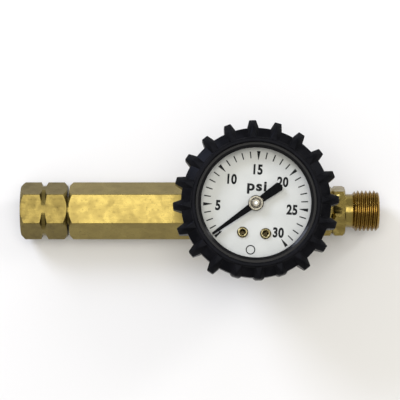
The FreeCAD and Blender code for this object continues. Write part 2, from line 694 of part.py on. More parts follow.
def gauge_socket():
    body = turned("gauge_socket_turned", "V_Axis", [
        ("stem_bore", "stem_bottom"),
        ("eighth_port - (hex_flats - stem_bottom) * pipe_taper", "stem_bottom"),
        ("eighth_port", "hex_flats"),
    ] + stem_thread() + [
        ("eighth_port", "wrench_bottom"),
        ("spigot_radius", "wrench_bottom"),
        ("spigot_radius", "case_back + sheet"),
        ("socket_disc", "case_back + sheet"),
        ("socket_disc", "socket_floor"),
        ("boss_radius", "socket_floor"),
        ("boss_radius", "back_plate"),
        ("0", "back_plate"),
        ("0", "stem_bore_top"),
        ("stem_bore", "stem_bore_top"),
    ])
    half = "wrench_flats / 2"
    square = rectangle("-" + half, half, "-" + half, half)
    pad(body, "XY_Plane", "wrench_bottom", "case_back - wrench_bottom", square)
    arm = rectangle("tower_left", "tower_right", "tower_outer", "-socket_disc / 2")
    pad(body, "XY_Plane", "case_back + sheet", "socket_floor - case_back - sheet", arm)
    tower = rectangle("tower_left", "tower_right", "tower_outer", "tower_inner")
    pad(body, "XY_Plane", "socket_floor", "tower_top - socket_floor", tower)
    cut_turned(body, "V_Axis", rectangle("0", "stem_bore", "stem_bottom", "stem_bore_top"))
    holes = [(side + "screw_side", "screw_up", "screw_shank") for side in ("-", "")]
    pocket(body, "back_plate", "movement_screw_depth", circles=holes)
    seat_start = "tube_end + tube_sweep - seat_lead"
    turn_profile(body, "Groove", "V_Axis", tube_section("0"), "seat_sweep", seat_start)
    in_gauge(body)

    # the slanting gas way runs from the tube's fixed end down to the middle of the stem
    angle = "(tube_end + tube_sweep + passage_ahead)"
    passage = doc.addObject("Part::Cylinder", "gas_passage")
    passage.setExpression("Radius", bound("passage_radius"))
    reach = number("tube_radius")
    rise = number("tube_middle - passage_drop - case_back")
    passage.Height = math.hypot(reach, rise)
    slope = math.degrees(math.atan2(reach, rise))
    lean = FreeCAD.Rotation(FreeCAD.Vector(0, 0, 1), number(angle) + number("gauge_turn"))
    lean = lean.multiply(FreeCAD.Rotation(FreeCAD.Vector(0, 1, 0), slope))
    passage.Placement = FreeCAD.Placement(FreeCAD.Vector(0, 0, number("case_back")), lean)

    case_holes = doc.addObject("Part::Cylinder", "case_screw_hole_left")
    mirror_holes = doc.addObject("Part::Cylinder", "case_screw_hole_right")
    for hole, side in ((case_holes, "-"), (mirror_holes, "")):
        hole.setExpression("Radius", bound("screw_shank"))
        hole.setExpression("Height", bound("case_screw_depth"))
        in_gauge(hole, side + "case_screw_side", "0", "case_back")

    ways = doc.addObject("Part::MultiFuse", "socket_drillings")
    ways.Shapes = [passage, case_holes, mirror_holes]
    socket = doc.addObject("Part::Cut", "gauge_socket")
    socket.Base = body
    socket.Tool = ways
    doc.recompute()
    keep(socket)


def gauge_case():
    inner = "case_radius - sheet"
    body = turned("gauge_case", "V_Axis", [
        ("spigot_radius", "case_back"),
        ("case_radius", "case_back"),
        ("case_radius", "case_rim"),
        (inner, "case_rim"),
        (inner, "case_back + sheet"),
        ("spigot_radius", "case_back + sheet"),
    ])
    round_edges(body, "case_round", circle_at("case_radius", "case_back"))
    round_edges(body, "case_round - sheet", circle_at(inner, "case_back + sheet"))
    holes = [(side + "case_screw_side", "0", "screw_shank") for side in ("-", "")]
    pocket(body, "case_back + 2 * sheet", "3 * sheet", circles=holes)
    keep(in_gauge(body))


def bezel():
    lip_back = "bezel_front - bezel_lip"
    body = turned("bezel", "V_Axis", [
        ("case_radius", "bezel_back"),
        ("bezel_radius", "bezel_back"),
        ("bezel_radius", "bezel_front - edge_bevel"),
        ("bezel_radius - edge_bevel", "bezel_front"),
        ("bezel_opening + bezel_slope", "bezel_front"),
        ("bezel_opening", "bezel_front - slope_depth"),
        ("bezel_opening", lip_back),
        ("case_radius", lip_back),
    ])
    keep(in_gauge(body))


def lens_and_gasket():
    lens = new_body("lens")
    pad(lens, "XY_Plane", "0", "bezel_front - bezel_lip - lens_back", circles=[("0", "0", "lens_radius")])
    keep(in_gauge(lens, z="lens_back"))
    gasket = new_body("lens_gasket")
    rings = [("0", "0", "case_radius"), ("0", "0", "gasket_inner")]
    pad(gasket, "XY_Plane", "0", "lens_back - case_rim", circles=rings)
    keep(in_gauge(gasket, z="case_rim"))


# ---------------------------------------------------------------------------------------------------------
# Dial, its posts and rivets
# ---------------------------------------------------------------------------------------------------------
def dial():
    body = new_body("dial")
    pin_x, pin_y = polar("pin_reach", "pin_angle")
    circles = [
        ("0", "0", "dial_radius"),
        ("0", "0", "dial_hole"),
        ("rivet_side", "-rivet_down", "rivet_shank"),
        ("-rivet_side", "-rivet_down", "rivet_shank"),
        (pin_x, pin_y, "pin_radius"),
    ]
    pad(body, "XY_Plane", "0", "dial_sheet", circles=circles)
    keep(in_gauge(body, z="dial_front - dial_sheet"))

    pin = new_body("stop_pin")
    pad(pin, "XY_Plane", "0", "pin_top - dial_front + dial_sheet", circles=[("0", "0", "pin_radius")])
    keep(in_gauge(pin, pin_x, pin_y, "dial_front - dial_sheet"))


def dial_fixings(side_name, side):
    """A hollow rivet holds the dial on a post, and the post's stud clamps the front plate on its pillar."""
    spot = (side + "rivet_side", "-rivet_down")
    head = "dial_front + rivet_height"
    rivet = turned("dial_rivet_" + side_name, "V_Axis", [
        ("rivet_bore", "rivet_bottom"),
        ("rivet_shank", "rivet_bottom"),
        ("rivet_shank", "dial_front"),
        ("rivet_head", "dial_front"),
        ("rivet_head", "dial_front + rivet_height / 3"),
        ("rivet_head - rivet_shoulder", head + " - shoulder_drop"),
        ("rivet_head - rivet_crown", head),
        ("rivet_bore + rivet_lip", head),
        ("rivet_bore", head + " - rivet_lip"),
    ])
    keep(in_gauge(rivet, *spot))

    post_bottom = "front_plate + plate"
    stud_bottom = "front_plate - stud_depth"
    dial_back = "dial_front - dial_sheet"
    post = turned("dial_post_" + side_name, "V_Axis", [
        ("0", stud_bottom),
        ("stud_radius", stud_bottom),
        ("stud_radius", post_bottom),
        ("post_radius", post_bottom),
        ("post_radius", dial_back),
        ("rivet_shank", dial_back),
        ("rivet_shank", "rivet_bottom"),
        ("0", "rivet_bottom"),
    ])
    keep(in_gauge(post, *spot))
    pillar("movement_pillar_" + side_name, *spot)


# ---------------------------------------------------------------------------------------------------------
# Movement frame
# ---------------------------------------------------------------------------------------------------------
def pillar(label, x, y):
    body = turned(label, "V_Axis", [
        ("0", "back_plate"),
        ("stud_radius", "back_plate"),
        ("stud_radius", "back_plate + plate"),
        ("pillar_radius", "back_plate + plate"),
        ("pillar_radius", "front_plate"),
        ("stud_radius", "front_plate"),
        ("stud_radius", "front_plate - stud_depth"),
        ("0", "front_plate - stud_depth"),
    ])
    keep(in_gauge(body, x, y))


def sector_place():
    """The sector's arbor lies one gear distance below and right of the middle."""
    distance = "(gear_module * (pinion_teeth + sector_teeth) / 2)"
    return "%s * cos(sector_angle)" % distance, "%s * sin(sector_angle)" % distance


def plate_outline():
    """The movement's plates reach the three pillars and the sector's arbor."""
    below = "-rivet_down - plate_below"
    above = "top_pillar_y + plate_above"
    return [
        ("-rivet_side - plate_left", below),
        ("rivet_side + plate_right", below),
        ("plate_side", "plate_side_low"),
        ("plate_side", "plate_side_high"),
        ("plate_shoulder", above),
        ("top_pillar_x - plate_above", above),
        ("-rivet_side - plate_waist", "plate_waist_up"),
    ]


def movement_plate(label, bottom, arbor_hole, extra_holes):
    body = new_body(label)
    sector_x, sector_y = sector_place()
    circles = [
        ("0", "0", arbor_hole),
        (sector_x, sector_y, "sector_pivot + running_gap"),
        ("rivet_side", "-rivet_down", "stud_radius"),
        ("-rivet_side", "-rivet_down", "stud_radius"),
        ("top_pillar_x", "top_pillar_y", "stud_radius"),
    ]
    pad(body, "XY_Plane", "0", "plate", plate_outline(), circles + extra_holes)
    keep(in_gauge(body, z=bottom))


def driver_slot():
    """A screwdriver slot right across a screw's head."""
    return rectangle("-2 * screw_head", "2 * screw_head", "-slot_width / 2", "slot_width / 2")


def slotted_screw(label, x, y, seat, length):
    """A screw with its head above the seat and a screwdriver slot across the head."""
    top = seat + " + head_height"
    body = turned(label, "V_Axis", [
        ("0", "%s - (%s)" % (seat, length)),
        ("screw_shank", "%s - (%s)" % (seat, length)),
        ("screw_shank", seat),
        ("screw_head", seat),
        ("screw_head", top + " - head_bevel"),
        ("screw_head - head_bevel", top),
        ("0", top),
    ])
    pocket(body, top, "head_height / 2", driver_slot())
    return in_gauge(body, x, y)


def movement_frame():
    screws = [(side + "screw_side", "screw_up", "screw_shank") for side in ("-", "")]
    movement_plate("movement_back_plate", "back_plate", "pivot_radius + running_gap", screws)
    movement_plate("movement_front_plate", "front_plate", "arbor_radius + running_gap", [])
    pillar("movement_pillar_top", "top_pillar_x", "top_pillar_y")
    for name, side in (("left", "-"), ("right", "")):
        seat = "back_plate + plate"
        length = "plate + movement_screw_depth"
        keep(slotted_screw("movement_screw_" + name, side + "screw_side", "screw_up", seat, length))

    top = "front_plate + plate"
    plate_screw = turned("plate_screw", "V_Axis", [
        ("0", "front_plate - stud_depth"),
        ("stud_radius", "front_plate - stud_depth"),
        ("stud_radius", top),
        ("screw_head", top),
        ("screw_head", top + " + head_height - head_bevel"),
        ("screw_head - head_bevel", top + " + head_height"),
        ("0", top + " + head_height"),
    ])
    pocket(plate_screw, top + " + head_height", "head_height / 2", driver_slot())
    keep(in_gauge(plate_screw, "top_pillar_x", "top_pillar_y"))


def case_screws():
    """Two screws hold the case's back on the socket from outside."""
    for name, side in (("left", "-"), ("right", "")):
        body = turned("case_screw_" + name, "V_Axis", [
            ("0", "case_back - head_height"),
            ("screw_head - head_bevel", "case_back - head_height"),
            ("screw_head", "case_back - head_height + head_bevel"),
            ("screw_head", "case_back"),
            ("screw_shank", "case_back"),
            ("screw_shank", "case_back + case_screw_depth"),
            ("0", "case_back + case_screw_depth"),
        ])
        pocket(body, "case_back - head_height / 2", "head_height", driver_slot())
        keep(in_gauge(body, side + "case_screw_side", "0"))


# ---------------------------------------------------------------------------------------------------------
# Pointer, hub and pinion arbor
# ---------------------------------------------------------------------------------------------------------
def pointer():
    """The pointer is drawn along +X, and turned to its rest against the stop pin."""
    body = new_body("pointer")
    outline = [
        ("pointer_waist", "pointer_waist"),
        ("pointer_reach - tip_taper", "pointer_tip"),
        ("pointer_reach", "0"),
        ("pointer_reach - tip_taper", "-pointer_tip"),
        ("pointer_waist", "-pointer_waist"),
        ("-pointer_waist", "-tail_root"),
        ("-pointer_tail + tail_corner", "-tail_end"),
        ("-pointer_tail", "-tail_end + tail_corner"),
        ("-pointer_tail", "tail_end - tail_corner"),
        ("-pointer_tail + tail_corner", "tail_end"),
        ("-pointer_waist", "tail_root"),
    ]
    pad(body, "XY_Plane", "0", "pointer_sheet", outline)
    pad(body, "XY_Plane", "0", "pointer_sheet", circles=[("0", "0", "pointer_boss")])
    pocket(body, "pointer_sheet", "pointer_sheet", circles=[("0", "0", "hub_bush")])
    keep(in_gauge(body, z="pointer_back", turn="pointer_angle"))

    front = "pointer_back + pointer_sheet"
    hub = turned("pointer_hub", "V_Axis", [
        ("arbor_radius", "hub_bottom"),
        ("hub_bush", "hub_bottom"),
        ("hub_bush", front),
        ("hub_radius - hub_edge", front),
        ("hub_radius", front + " + hub_edge"),
        ("hub_radius", "hub_disc_top - hub_edge"),
        ("hub_radius - hub_edge", "hub_disc_top"),
        ("hub_nose + hub_dish", "hub_disc_top - dish_depth"),
        ("hub_nose", "hub_disc_top"),
        ("hub_nose - nose_bevel", "arbor_top - arbor_proud"),
        ("arbor_radius", "arbor_top - arbor_proud"),
    ])
    keep(in_gauge(hub))


def polar_point(reach, angle):
    """A point at a distance and a direction, in radians."""
    return FreeCAD.Vector(reach * math.cos(angle), reach * math.sin(angle), 0)


def gear_circles(teeth):
    """The root and tip radius of a gear of so many teeth."""
    module = number("gear_module")
    pitch_radius = module * teeth / 2
    return pitch_radius - module * number("tooth_below"), pitch_radius + module * number("tooth_above")


def gear_tooth(centre, root, tip):
    """Four points of a straight-sided tooth that points in a direction, in radians."""
    foot = number("tooth_foot") / root
    head = number("tooth_head") / tip
    return [
        polar_point(root, centre - foot),
        polar_point(tip, centre - head),
        polar_point(tip, centre + head),
        polar_point(root, centre + foot),
    ]


def pinion_arbor():
    teeth = int(number("pinion_teeth"))
    root, tip = gear_circles(teeth)
    # the gap between two teeth points at the sector's arbor
    sector_x, sector_y = (number(text) for text in sector_place())
    facing = math.atan2(sector_y, sector_x)
    points = []
    for tooth in range(teeth):
        centre = facing + math.tau * (tooth + 0.5) / teeth
        points += gear_tooth(centre, root, tip)
    outline = Part.makePolygon(points + points[:1])
    gear = Part.Face(outline).extrude(FreeCAD.Vector(0, 0, number("gear_sheet + 2 * gear_overhang")))
    gear.translate(FreeCAD.Vector(0, 0, number("gear_back - gear_overhang")))

    pivot = Part.makeCylinder(
        number("pivot_radius"),
        number("arbor_shoulder - arbor_bottom"),
        FreeCAD.Vector(0, 0, number("arbor_bottom")),
    )
    staff = Part.makeCylinder(
        root,
        number("gear_back - arbor_shoulder"),
        FreeCAD.Vector(0, 0, number("arbor_shoulder")),
    )
    arbor = Part.makeCylinder(
        number("arbor_radius"),
        number("arbor_top - gear_back - gear_sheet"),
        FreeCAD.Vector(0, 0, number("gear_back + gear_sheet")),
    )
    shape = gear.multiFuse([pivot, staff, arbor]).removeSplitter()
    keep(in_gauge(shape_piece("pinion_arbor", shape)))


# ---------------------------------------------------------------------------------------------------------
# Sector, link and Bourdon tube
# ---------------------------------------------------------------------------------------------------------
def arm_rest_angle():
    """The arm stands square to the link half way through its travel."""
    return "(link_angle - 90 - sector_travel / 2)"


def sector_gear():
    count = int(number("sector_teeth"))
    root, tip = gear_circles(count)
    step = math.tau / count
    sector_x, sector_y = (number(text) for text in sector_place())
    facing = math.atan2(-sector_y, -sector_x)
    rim_teeth = int(number("rim_teeth"))
    points = []
    for tooth in range(rim_teeth):
        centre = facing + step * (tooth - rim_teeth + number("spare_teeth"))
        points += gear_tooth(centre, root, tip)
    # two straight arms run from the ends of the toothed rim to the hub
    first = math.atan2(points[0].y, points[0].x)
    last = math.atan2(points[-1].y, points[-1].x)
    hub = number("sector_hub")
    points.append(polar_point(hub, last + number("arm_spread")))
    points.append(polar_point(hub, first - number("arm_spread")))
    rim = Part.Face(Part.makePolygon(points + points[:1]))

    # a window lightens the sector between its arms
    outer = root - number("rim_width")
    inner = outer / 2
    outer_margin = number("window_outer")
    inner_margin = number("window_inner")
    corners = [
        polar_point(inner, first + inner_margin),
        polar_point(outer, first + outer_margin),
        polar_point(outer, last - outer_margin),
        polar_point(inner, last - inner_margin),
    ]
    rim = rim.cut(Part.Face(Part.makePolygon(corners + corners[:1])))

    arm_angle = number(arm_rest_angle())
    arm_length = number("arm_length")
    arm_half = number("arm_half")
    arm = Part.makePlane(arm_length, 2 * arm_half, FreeCAD.Vector(0, -arm_half, 0))
    arm.rotate(FreeCAD.Vector(), FreeCAD.Vector(0, 0, 1), arm_angle)
    pin_spot = FreeCAD.Vector(arm_length, 0, 0)
    pin_spot = FreeCAD.Rotation(FreeCAD.Vector(0, 0, 1), arm_angle).multVec(pin_spot)
    up = FreeCAD.Vector(0, 0, 1)
    eye_disc = Part.Face(Part.Wire(Part.makeCircle(number("link_pin + arm_eye"), pin_spot, up)))

    thick = FreeCAD.Vector(0, 0, number("gear_sheet"))
    collar_length = number("gear_sheet + 2 * gear_overhang")
    collar_bottom = FreeCAD.Vector(0, 0, -number("gear_overhang"))
    collar = Part.makeCylinder(hub, collar_length, collar_bottom)
    blade = rim.extrude(thick).multiFuse([arm.extrude(thick), eye_disc.extrude(thick), collar])
    blade = blade.cut(Part.makeCylinder(number("sector_arbor"), collar_length, collar_bottom))
    blade = blade.cut(Part.makeCylinder(number("link_pin"), collar_length, pin_spot + collar_bottom))
    piece = shape_piece("sector_gear", blade.removeSplitter())
    keep(in_gauge(piece, *sector_place(), "gear_back"))


def sector_arbor():
    top = "front_plate + plate - pivot_short"
    body = turned("sector_arbor", "V_Axis", [
        ("0", "arbor_bottom"),
        ("sector_pivot", "arbor_bottom"),
        ("sector_pivot", "arbor_shoulder"),
        ("sector_arbor", "arbor_shoulder"),
        ("sector_arbor", "front_plate - arbor_shake"),
        ("sector_pivot", "front_plate - arbor_shake"),
        ("sector_pivot", top),
        ("0", top),
    ])
    keep(in_gauge(body, *sector_place()))


def link_ends():
    """The link's two pins on the upright dial: on the sector's arm, and on the tube's end piece."""
    x, y = sector_place()
    arm = arm_rest_angle()
    arm_x = "%s + arm_length * cos(%s)" % (x, arm)
    arm_y = "%s + arm_length * sin(%s)" % (y, arm)
    tip_x = arm_x + " + link_length * cos(link_angle)"
    tip_y = arm_y + " + link_length * sin(link_angle)"
    return (arm_x, arm_y), (tip_x, tip_y)


def link():
    body = new_body("link")
    bar = rectangle("0", "link_length", "-link_half", "link_half")
    eye = "link_pin + link_eye"
    pad(body, "XY_Plane", "0", "link_sheet", bar)
    pad(body, "XY_Plane", "0", "link_sheet", circles=[("0", "0", eye)])
    pad(body, "XY_Plane", "0", "link_sheet", circles=[("link_length", "0", eye)])
    holes = [
        ("0", "0", "link_pin + running_gap"),
        ("link_length", "0", "link_pin + link_open"),
    ]
    pocket(body, "link_sheet", "link_sheet", circles=holes)
    arm_end = link_ends()[0]
    keep(in_gauge(body, *arm_end, "link_back", "link_angle"))


def link_pin(label, spot, bottom):
    """A shouldered pin: its shank passes the link, and its head stands just clear of it."""
    head = "link_back + link_sheet + pin_head_gap"
    body = turned(label, "V_Axis", [
        ("0", bottom),
        ("link_pin", bottom),
        ("link_pin", head),
        ("link_pin_head", head),
        ("link_pin_head", head + " + pin_head_height"),
        ("0", head + " + pin_head_height"),
    ])
    keep(in_gauge(body, *spot))


def bourdon_tube():
    body = new_body("bourdon_tube")
    turn_profile(body, "Revolution", "V_Axis", tube_section("0"), "tube_sweep + tube_held", "tube_end")
    turn_profile(body, "Groove", "V_Axis", tube_section("-tube_wall"), "tube_sweep + tube_held", "tube_end")
    keep(in_gauge(body))


def tube_tip():
    """The end piece closes the tube's free end and carries the link's pin on a lug above it."""
    tip_x, tip_y = link_ends()[1]
    lug_x = "(%s) * cos(tube_end) + (%s) * sin(tube_end)" % (tip_x, tip_y)
    lug_y = "(%s) * cos(tube_end) - (%s) * sin(tube_end)" % (tip_y, tip_x)
    inner = "tube_radius - tube_thick / 2 - tip_wall"
    outer = "tube_radius + tube_thick / 2 + tip_wall"
    low = "tube_middle - tube_wide / 2 - tip_wall"
    lug_back = "link_back - lug_below"
    lug_front = lug_back + " + lug_sheet"
    body = new_body("tube_tip")
    block = rectangle(inner, outer, "-tip_length", "0")
    pad(body, "XY_Plane", low, "%s - (%s)" % (lug_front, low), block)
    lug = rectangle(lug_x + " - lug_wall", outer, "-tip_length", "lug_sheet")
    pad(body, "XY_Plane", lug_back, "lug_sheet", lug)
    pocket(body, lug_front, "lug_sheet", circles=[(lug_x, lug_y, "link_pin")])
    keep(in_gauge(body, turn="tube_end"))


def hairspring():
    """A flat spiral of half circles, from the collet on the arbor out to the stud."""
    inner = number("spring_inner")
    outer = number("spring_outer")
    halves = 2 * int(number("spring_turns"))
    step = (outer - inner) / halves
    strip = number("spring_strip")
    up = FreeCAD.Vector(0, 0, 1)

    def spiral(offset):
        """Half circles whose middles jump by a step, so that each meets the next one smoothly."""
        arcs = []
        for half in range(halves):
            radius = inner + offset + step * half
            middle = FreeCAD.Vector(step if half % 2 else 0, 0, 0)
            start = 180 * (half % 2)
            arcs.append(Part.makeCircle(radius, middle, up, start, start + 180))
        return arcs

    near = spiral(0)
    far = spiral(strip)
    ends = [
        Part.makeLine(near[0].Vertexes[0].Point, far[0].Vertexes[0].Point),
        Part.makeLine(near[-1].Vertexes[-1].Point, far[-1].Vertexes[-1].Point),
    ]
    outline = Part.Wire(Part.__sortEdges__(near + far + ends))
    shape = Part.Face(outline).extrude(FreeCAD.Vector(0, 0, number("spring_width")))
    keep(in_gauge(shape_piece("hairspring", shape), z="spring_back"))

    collet = new_body("hairspring_collet")
    rings = [("0", "0", "spring_inner"), ("0", "0", "arbor_radius")]
    pad(collet, "XY_Plane", "0", "spring_width + 2 * collet_overhang", circles=rings)
    keep(in_gauge(collet, z="spring_back - collet_overhang"))

    stud = new_body("hairspring_stud")
    pad(stud, "XY_Plane", "0", "front_plate - spring_back", circles=[("0", "0", "spring_stud")])
    keep(in_gauge(stud, "spring_outer + spring_strip + spring_stud", "0", "spring_back"))


# ---------------------------------------------------------------------------------------------------------
# Rubber boot
# ---------------------------------------------------------------------------------------------------------
def boot_tooth(tip):
    """One tooth along +X as a closed solid of flat faces: a three-cornered facet in front, with its base
    near the lip, and a bevelled end."""
    def side_pair(reach, half_width, height):
        """The left and right corner of a tooth at a radius."""
        across = number(half_width)
        return [FreeCAD.Vector(number(reach), side, number(height)) for side in (across, -across)]

    start_front = side_pair("tooth_start", "start_half", "start_front")
    start_back = side_pair("tooth_start", "start_half", "start_back")
    ridge = FreeCAD.Vector(number("ridge_reach"), 0, number("ridge_front"))
    shoulder_front = side_pair("boot_ring", "shoulder_half", "shoulder_front")
    shoulder_back = side_pair("boot_ring", "shoulder_half", "shoulder_back")
    tip_front = side_pair(tip, "end_half", "end_front")
    tip_back = side_pair(tip, "end_half", "end_back")

    left, right = 0, 1
    outlines = [
        [start_front[left], start_front[right], ridge],
        [ridge, tip_front[left], tip_front[right]],
        [tip_front[left], tip_front[right], tip_back[right], tip_back[left]],
        [start_front[left], start_front[right], start_back[right], start_back[left]],
        [shoulder_back[left], shoulder_back[right], tip_back[right], tip_back[left]],
        [shoulder_back[left], shoulder_back[right], start_back[right], start_back[left]],
    ]
    for side in (left, right):
        outlines += [
            [start_front[side], ridge, shoulder_front[side]],
            [ridge, tip_front[side], shoulder_front[side]],
            [start_front[side], shoulder_front[side], shoulder_back[side], start_back[side]],
            [shoulder_front[side], tip_front[side], tip_back[side], shoulder_back[side]],
        ]
    faces = [Part.Face(Part.makePolygon(corners + corners[:1])) for corners in outlines]
    solid = Part.Solid(Part.Shell(faces))
    if solid.Volume < 0:
        solid.reverse()
    return solid


def rubber_boot():
    ring = turned("boot_ring_turned", "V_Axis", [
        ("boot_hole", "boot_back"),
        ("boot_side - boot_round", "boot_back"),
        ("boot_side", "boot_back + boot_round"),
        ("boot_side + boot_swell", "swell_top"),
        ("boot_ring", "ring_back"),
        ("boot_ring", "ring_front"),
        ("boot_ring - ring_bevel", "ring_face"),
        ("boot_bead + bead_foot", "ring_inner"),
        ("boot_bead", "bead_side"),
        ("boot_bead - edge_bevel", "boot_front"),
        ("boot_lip + edge_bevel", "boot_front"),
        ("boot_lip", "boot_front - edge_bevel"),
        ("boot_lip", "bezel_front"),
        ("bezel_radius - edge_bevel", "bezel_front"),
        ("bezel_radius", "bezel_front - edge_bevel"),
        ("bezel_radius", "bezel_back"),
        ("case_radius", "bezel_back"),
        ("case_radius", "case_back + case_fit * case_round"),
        ("case_radius - case_fit * case_round", "case_back"),
        ("boot_hole", "case_back"),
    ])
    count = int(number("tooth_count"))
    trimmed_first = int(number("trimmed_first"))
    trimmed = range(trimmed_first, trimmed_first + int(number("trimmed_count")))
    teeth = []
    for tooth in range(count):
        solid = boot_tooth("trimmed_tip" if tooth in trimmed else "tooth_tip")
        angle = 360 / count * tooth + number("tooth_turn")
        solid.rotate(FreeCAD.Vector(), FreeCAD.Vector(0, 0, 1), angle)
        teeth.append(solid)
    piece = shape_piece("rubber_boot", ring.Shape.multiFuse(teeth))
    keep(piece)


# ---------------------------------------------------------------------------------------------------------
# The whole gauge
# ---------------------------------------------------------------------------------------------------------
manifold_body()
inlet_nipple()
swivel_nut()
outlet_adapter()
gauge_socket()
gauge_case()
bezel()
lens_and_gasket()
case_screws()
movement_frame()
dial()
dial_fixings("left", "-")
dial_fixings("right", "")
pointer()
pinion_arbor()
sector_gear()
sector_arbor()
link()
link_pin("sector_link_pin", link_ends()[0], "gear_back")
link_pin("tip_link_pin", link_ends()[1], "link_back - lug_below")
bourdon_tube()
tube_tip()
hairspring()
rubber_boot()
doc.recompute()

for item in doc.Objects:
    assert not {"Invalid", "Error"} & set(item.State), item.Label + " failed"
for piece in subparts:
    assert not piece.Shape.isNull() and piece.Shape.isValid(), piece.Label + " has no valid shape"
    assert len(piece.Shape.Solids) == 1, piece.Label + " is not one solid"

os.makedirs("parts", exist_ok=True)
for piece in subparts:
    piece.Shape.exportStep("parts/%s.step" % piece.Label)
    box = piece.Shape.BoundBox
    print("%-22s %9.2f mm3  x %.2f..%.2f  y %.2f..%.2f  z %.2f..%.2f" % (
        piece.Label, piece.Shape.Volume, box.XMin, box.XMax, box.YMin, box.YMax, box.ZMin, box.ZMax
    ))
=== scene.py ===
import json
import math

import bmesh
import bpy
import numpy as np
from mathutils import Matrix, Vector


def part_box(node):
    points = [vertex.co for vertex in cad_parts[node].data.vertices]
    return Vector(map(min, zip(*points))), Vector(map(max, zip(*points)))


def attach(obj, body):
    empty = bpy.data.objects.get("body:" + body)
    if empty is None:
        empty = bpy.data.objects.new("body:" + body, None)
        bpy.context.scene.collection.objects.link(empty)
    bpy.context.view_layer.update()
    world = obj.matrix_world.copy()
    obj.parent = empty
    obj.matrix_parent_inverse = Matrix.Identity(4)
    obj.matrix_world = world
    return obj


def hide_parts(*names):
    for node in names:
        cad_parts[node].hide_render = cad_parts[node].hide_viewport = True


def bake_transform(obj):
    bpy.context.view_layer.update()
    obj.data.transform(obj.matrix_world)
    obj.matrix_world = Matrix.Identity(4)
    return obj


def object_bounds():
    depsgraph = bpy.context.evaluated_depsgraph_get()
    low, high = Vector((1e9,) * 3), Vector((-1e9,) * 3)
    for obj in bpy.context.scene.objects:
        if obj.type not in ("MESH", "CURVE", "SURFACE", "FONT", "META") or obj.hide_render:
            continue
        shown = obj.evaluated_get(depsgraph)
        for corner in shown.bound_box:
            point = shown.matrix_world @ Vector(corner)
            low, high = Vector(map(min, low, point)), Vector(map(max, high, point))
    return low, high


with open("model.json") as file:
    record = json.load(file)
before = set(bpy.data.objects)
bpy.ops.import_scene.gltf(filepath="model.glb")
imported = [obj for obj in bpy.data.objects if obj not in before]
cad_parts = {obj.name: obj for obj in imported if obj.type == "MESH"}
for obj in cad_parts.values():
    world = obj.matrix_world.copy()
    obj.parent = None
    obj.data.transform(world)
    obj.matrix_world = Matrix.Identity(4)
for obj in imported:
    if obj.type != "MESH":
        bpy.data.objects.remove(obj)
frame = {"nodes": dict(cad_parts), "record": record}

# The looks of an in-line fuel-gas test gauge: worn brass, a moulded rubber boot, a printed dial under a clear
# lens, and a studio with a pale floor. Lengths are in millimetres unless a comment says metres, and MM turns
# them into metres.
MM = 0.001
CAD_BOX = [list(corner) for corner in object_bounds()]
SCENE = bpy.context.scene


def low(node, axis):
    """Lowest place of a CAD node along an axis (0, 1, 2), in millimetres."""
    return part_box(node)[0][axis] / MM


def high(node, axis):
    """Highest place of a CAD node along an axis, in millimetres."""
    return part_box(node)[1][axis] / MM


def middle(node):
    """Middle of a CAD node's box, in millimetres."""
    lowest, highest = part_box(node)
    return (lowest + highest) / 2 / MM


AXIS_HEIGHT = middle("manifold_body").z
RIVETS = [middle("dial_rivet_left"), middle("dial_rivet_right")]
RIVET_LINE = RIVETS[1] - RIVETS[0]
GAUGE_TURN = math.atan2(RIVET_LINE.y, RIVET_LINE.x)
DIAL_FRONT = high("dial", 2)


# ---------------------------------------------------------------------------------------------------------
# Materials
# ---------------------------------------------------------------------------------------------------------
BEVEL_SAMPLES = 4
TINT_START = 34.0
TINT_END = 35.2
ALONG_BAR = (40, 1, 1)
ROUND_BAR = (0.35, 3, 3)


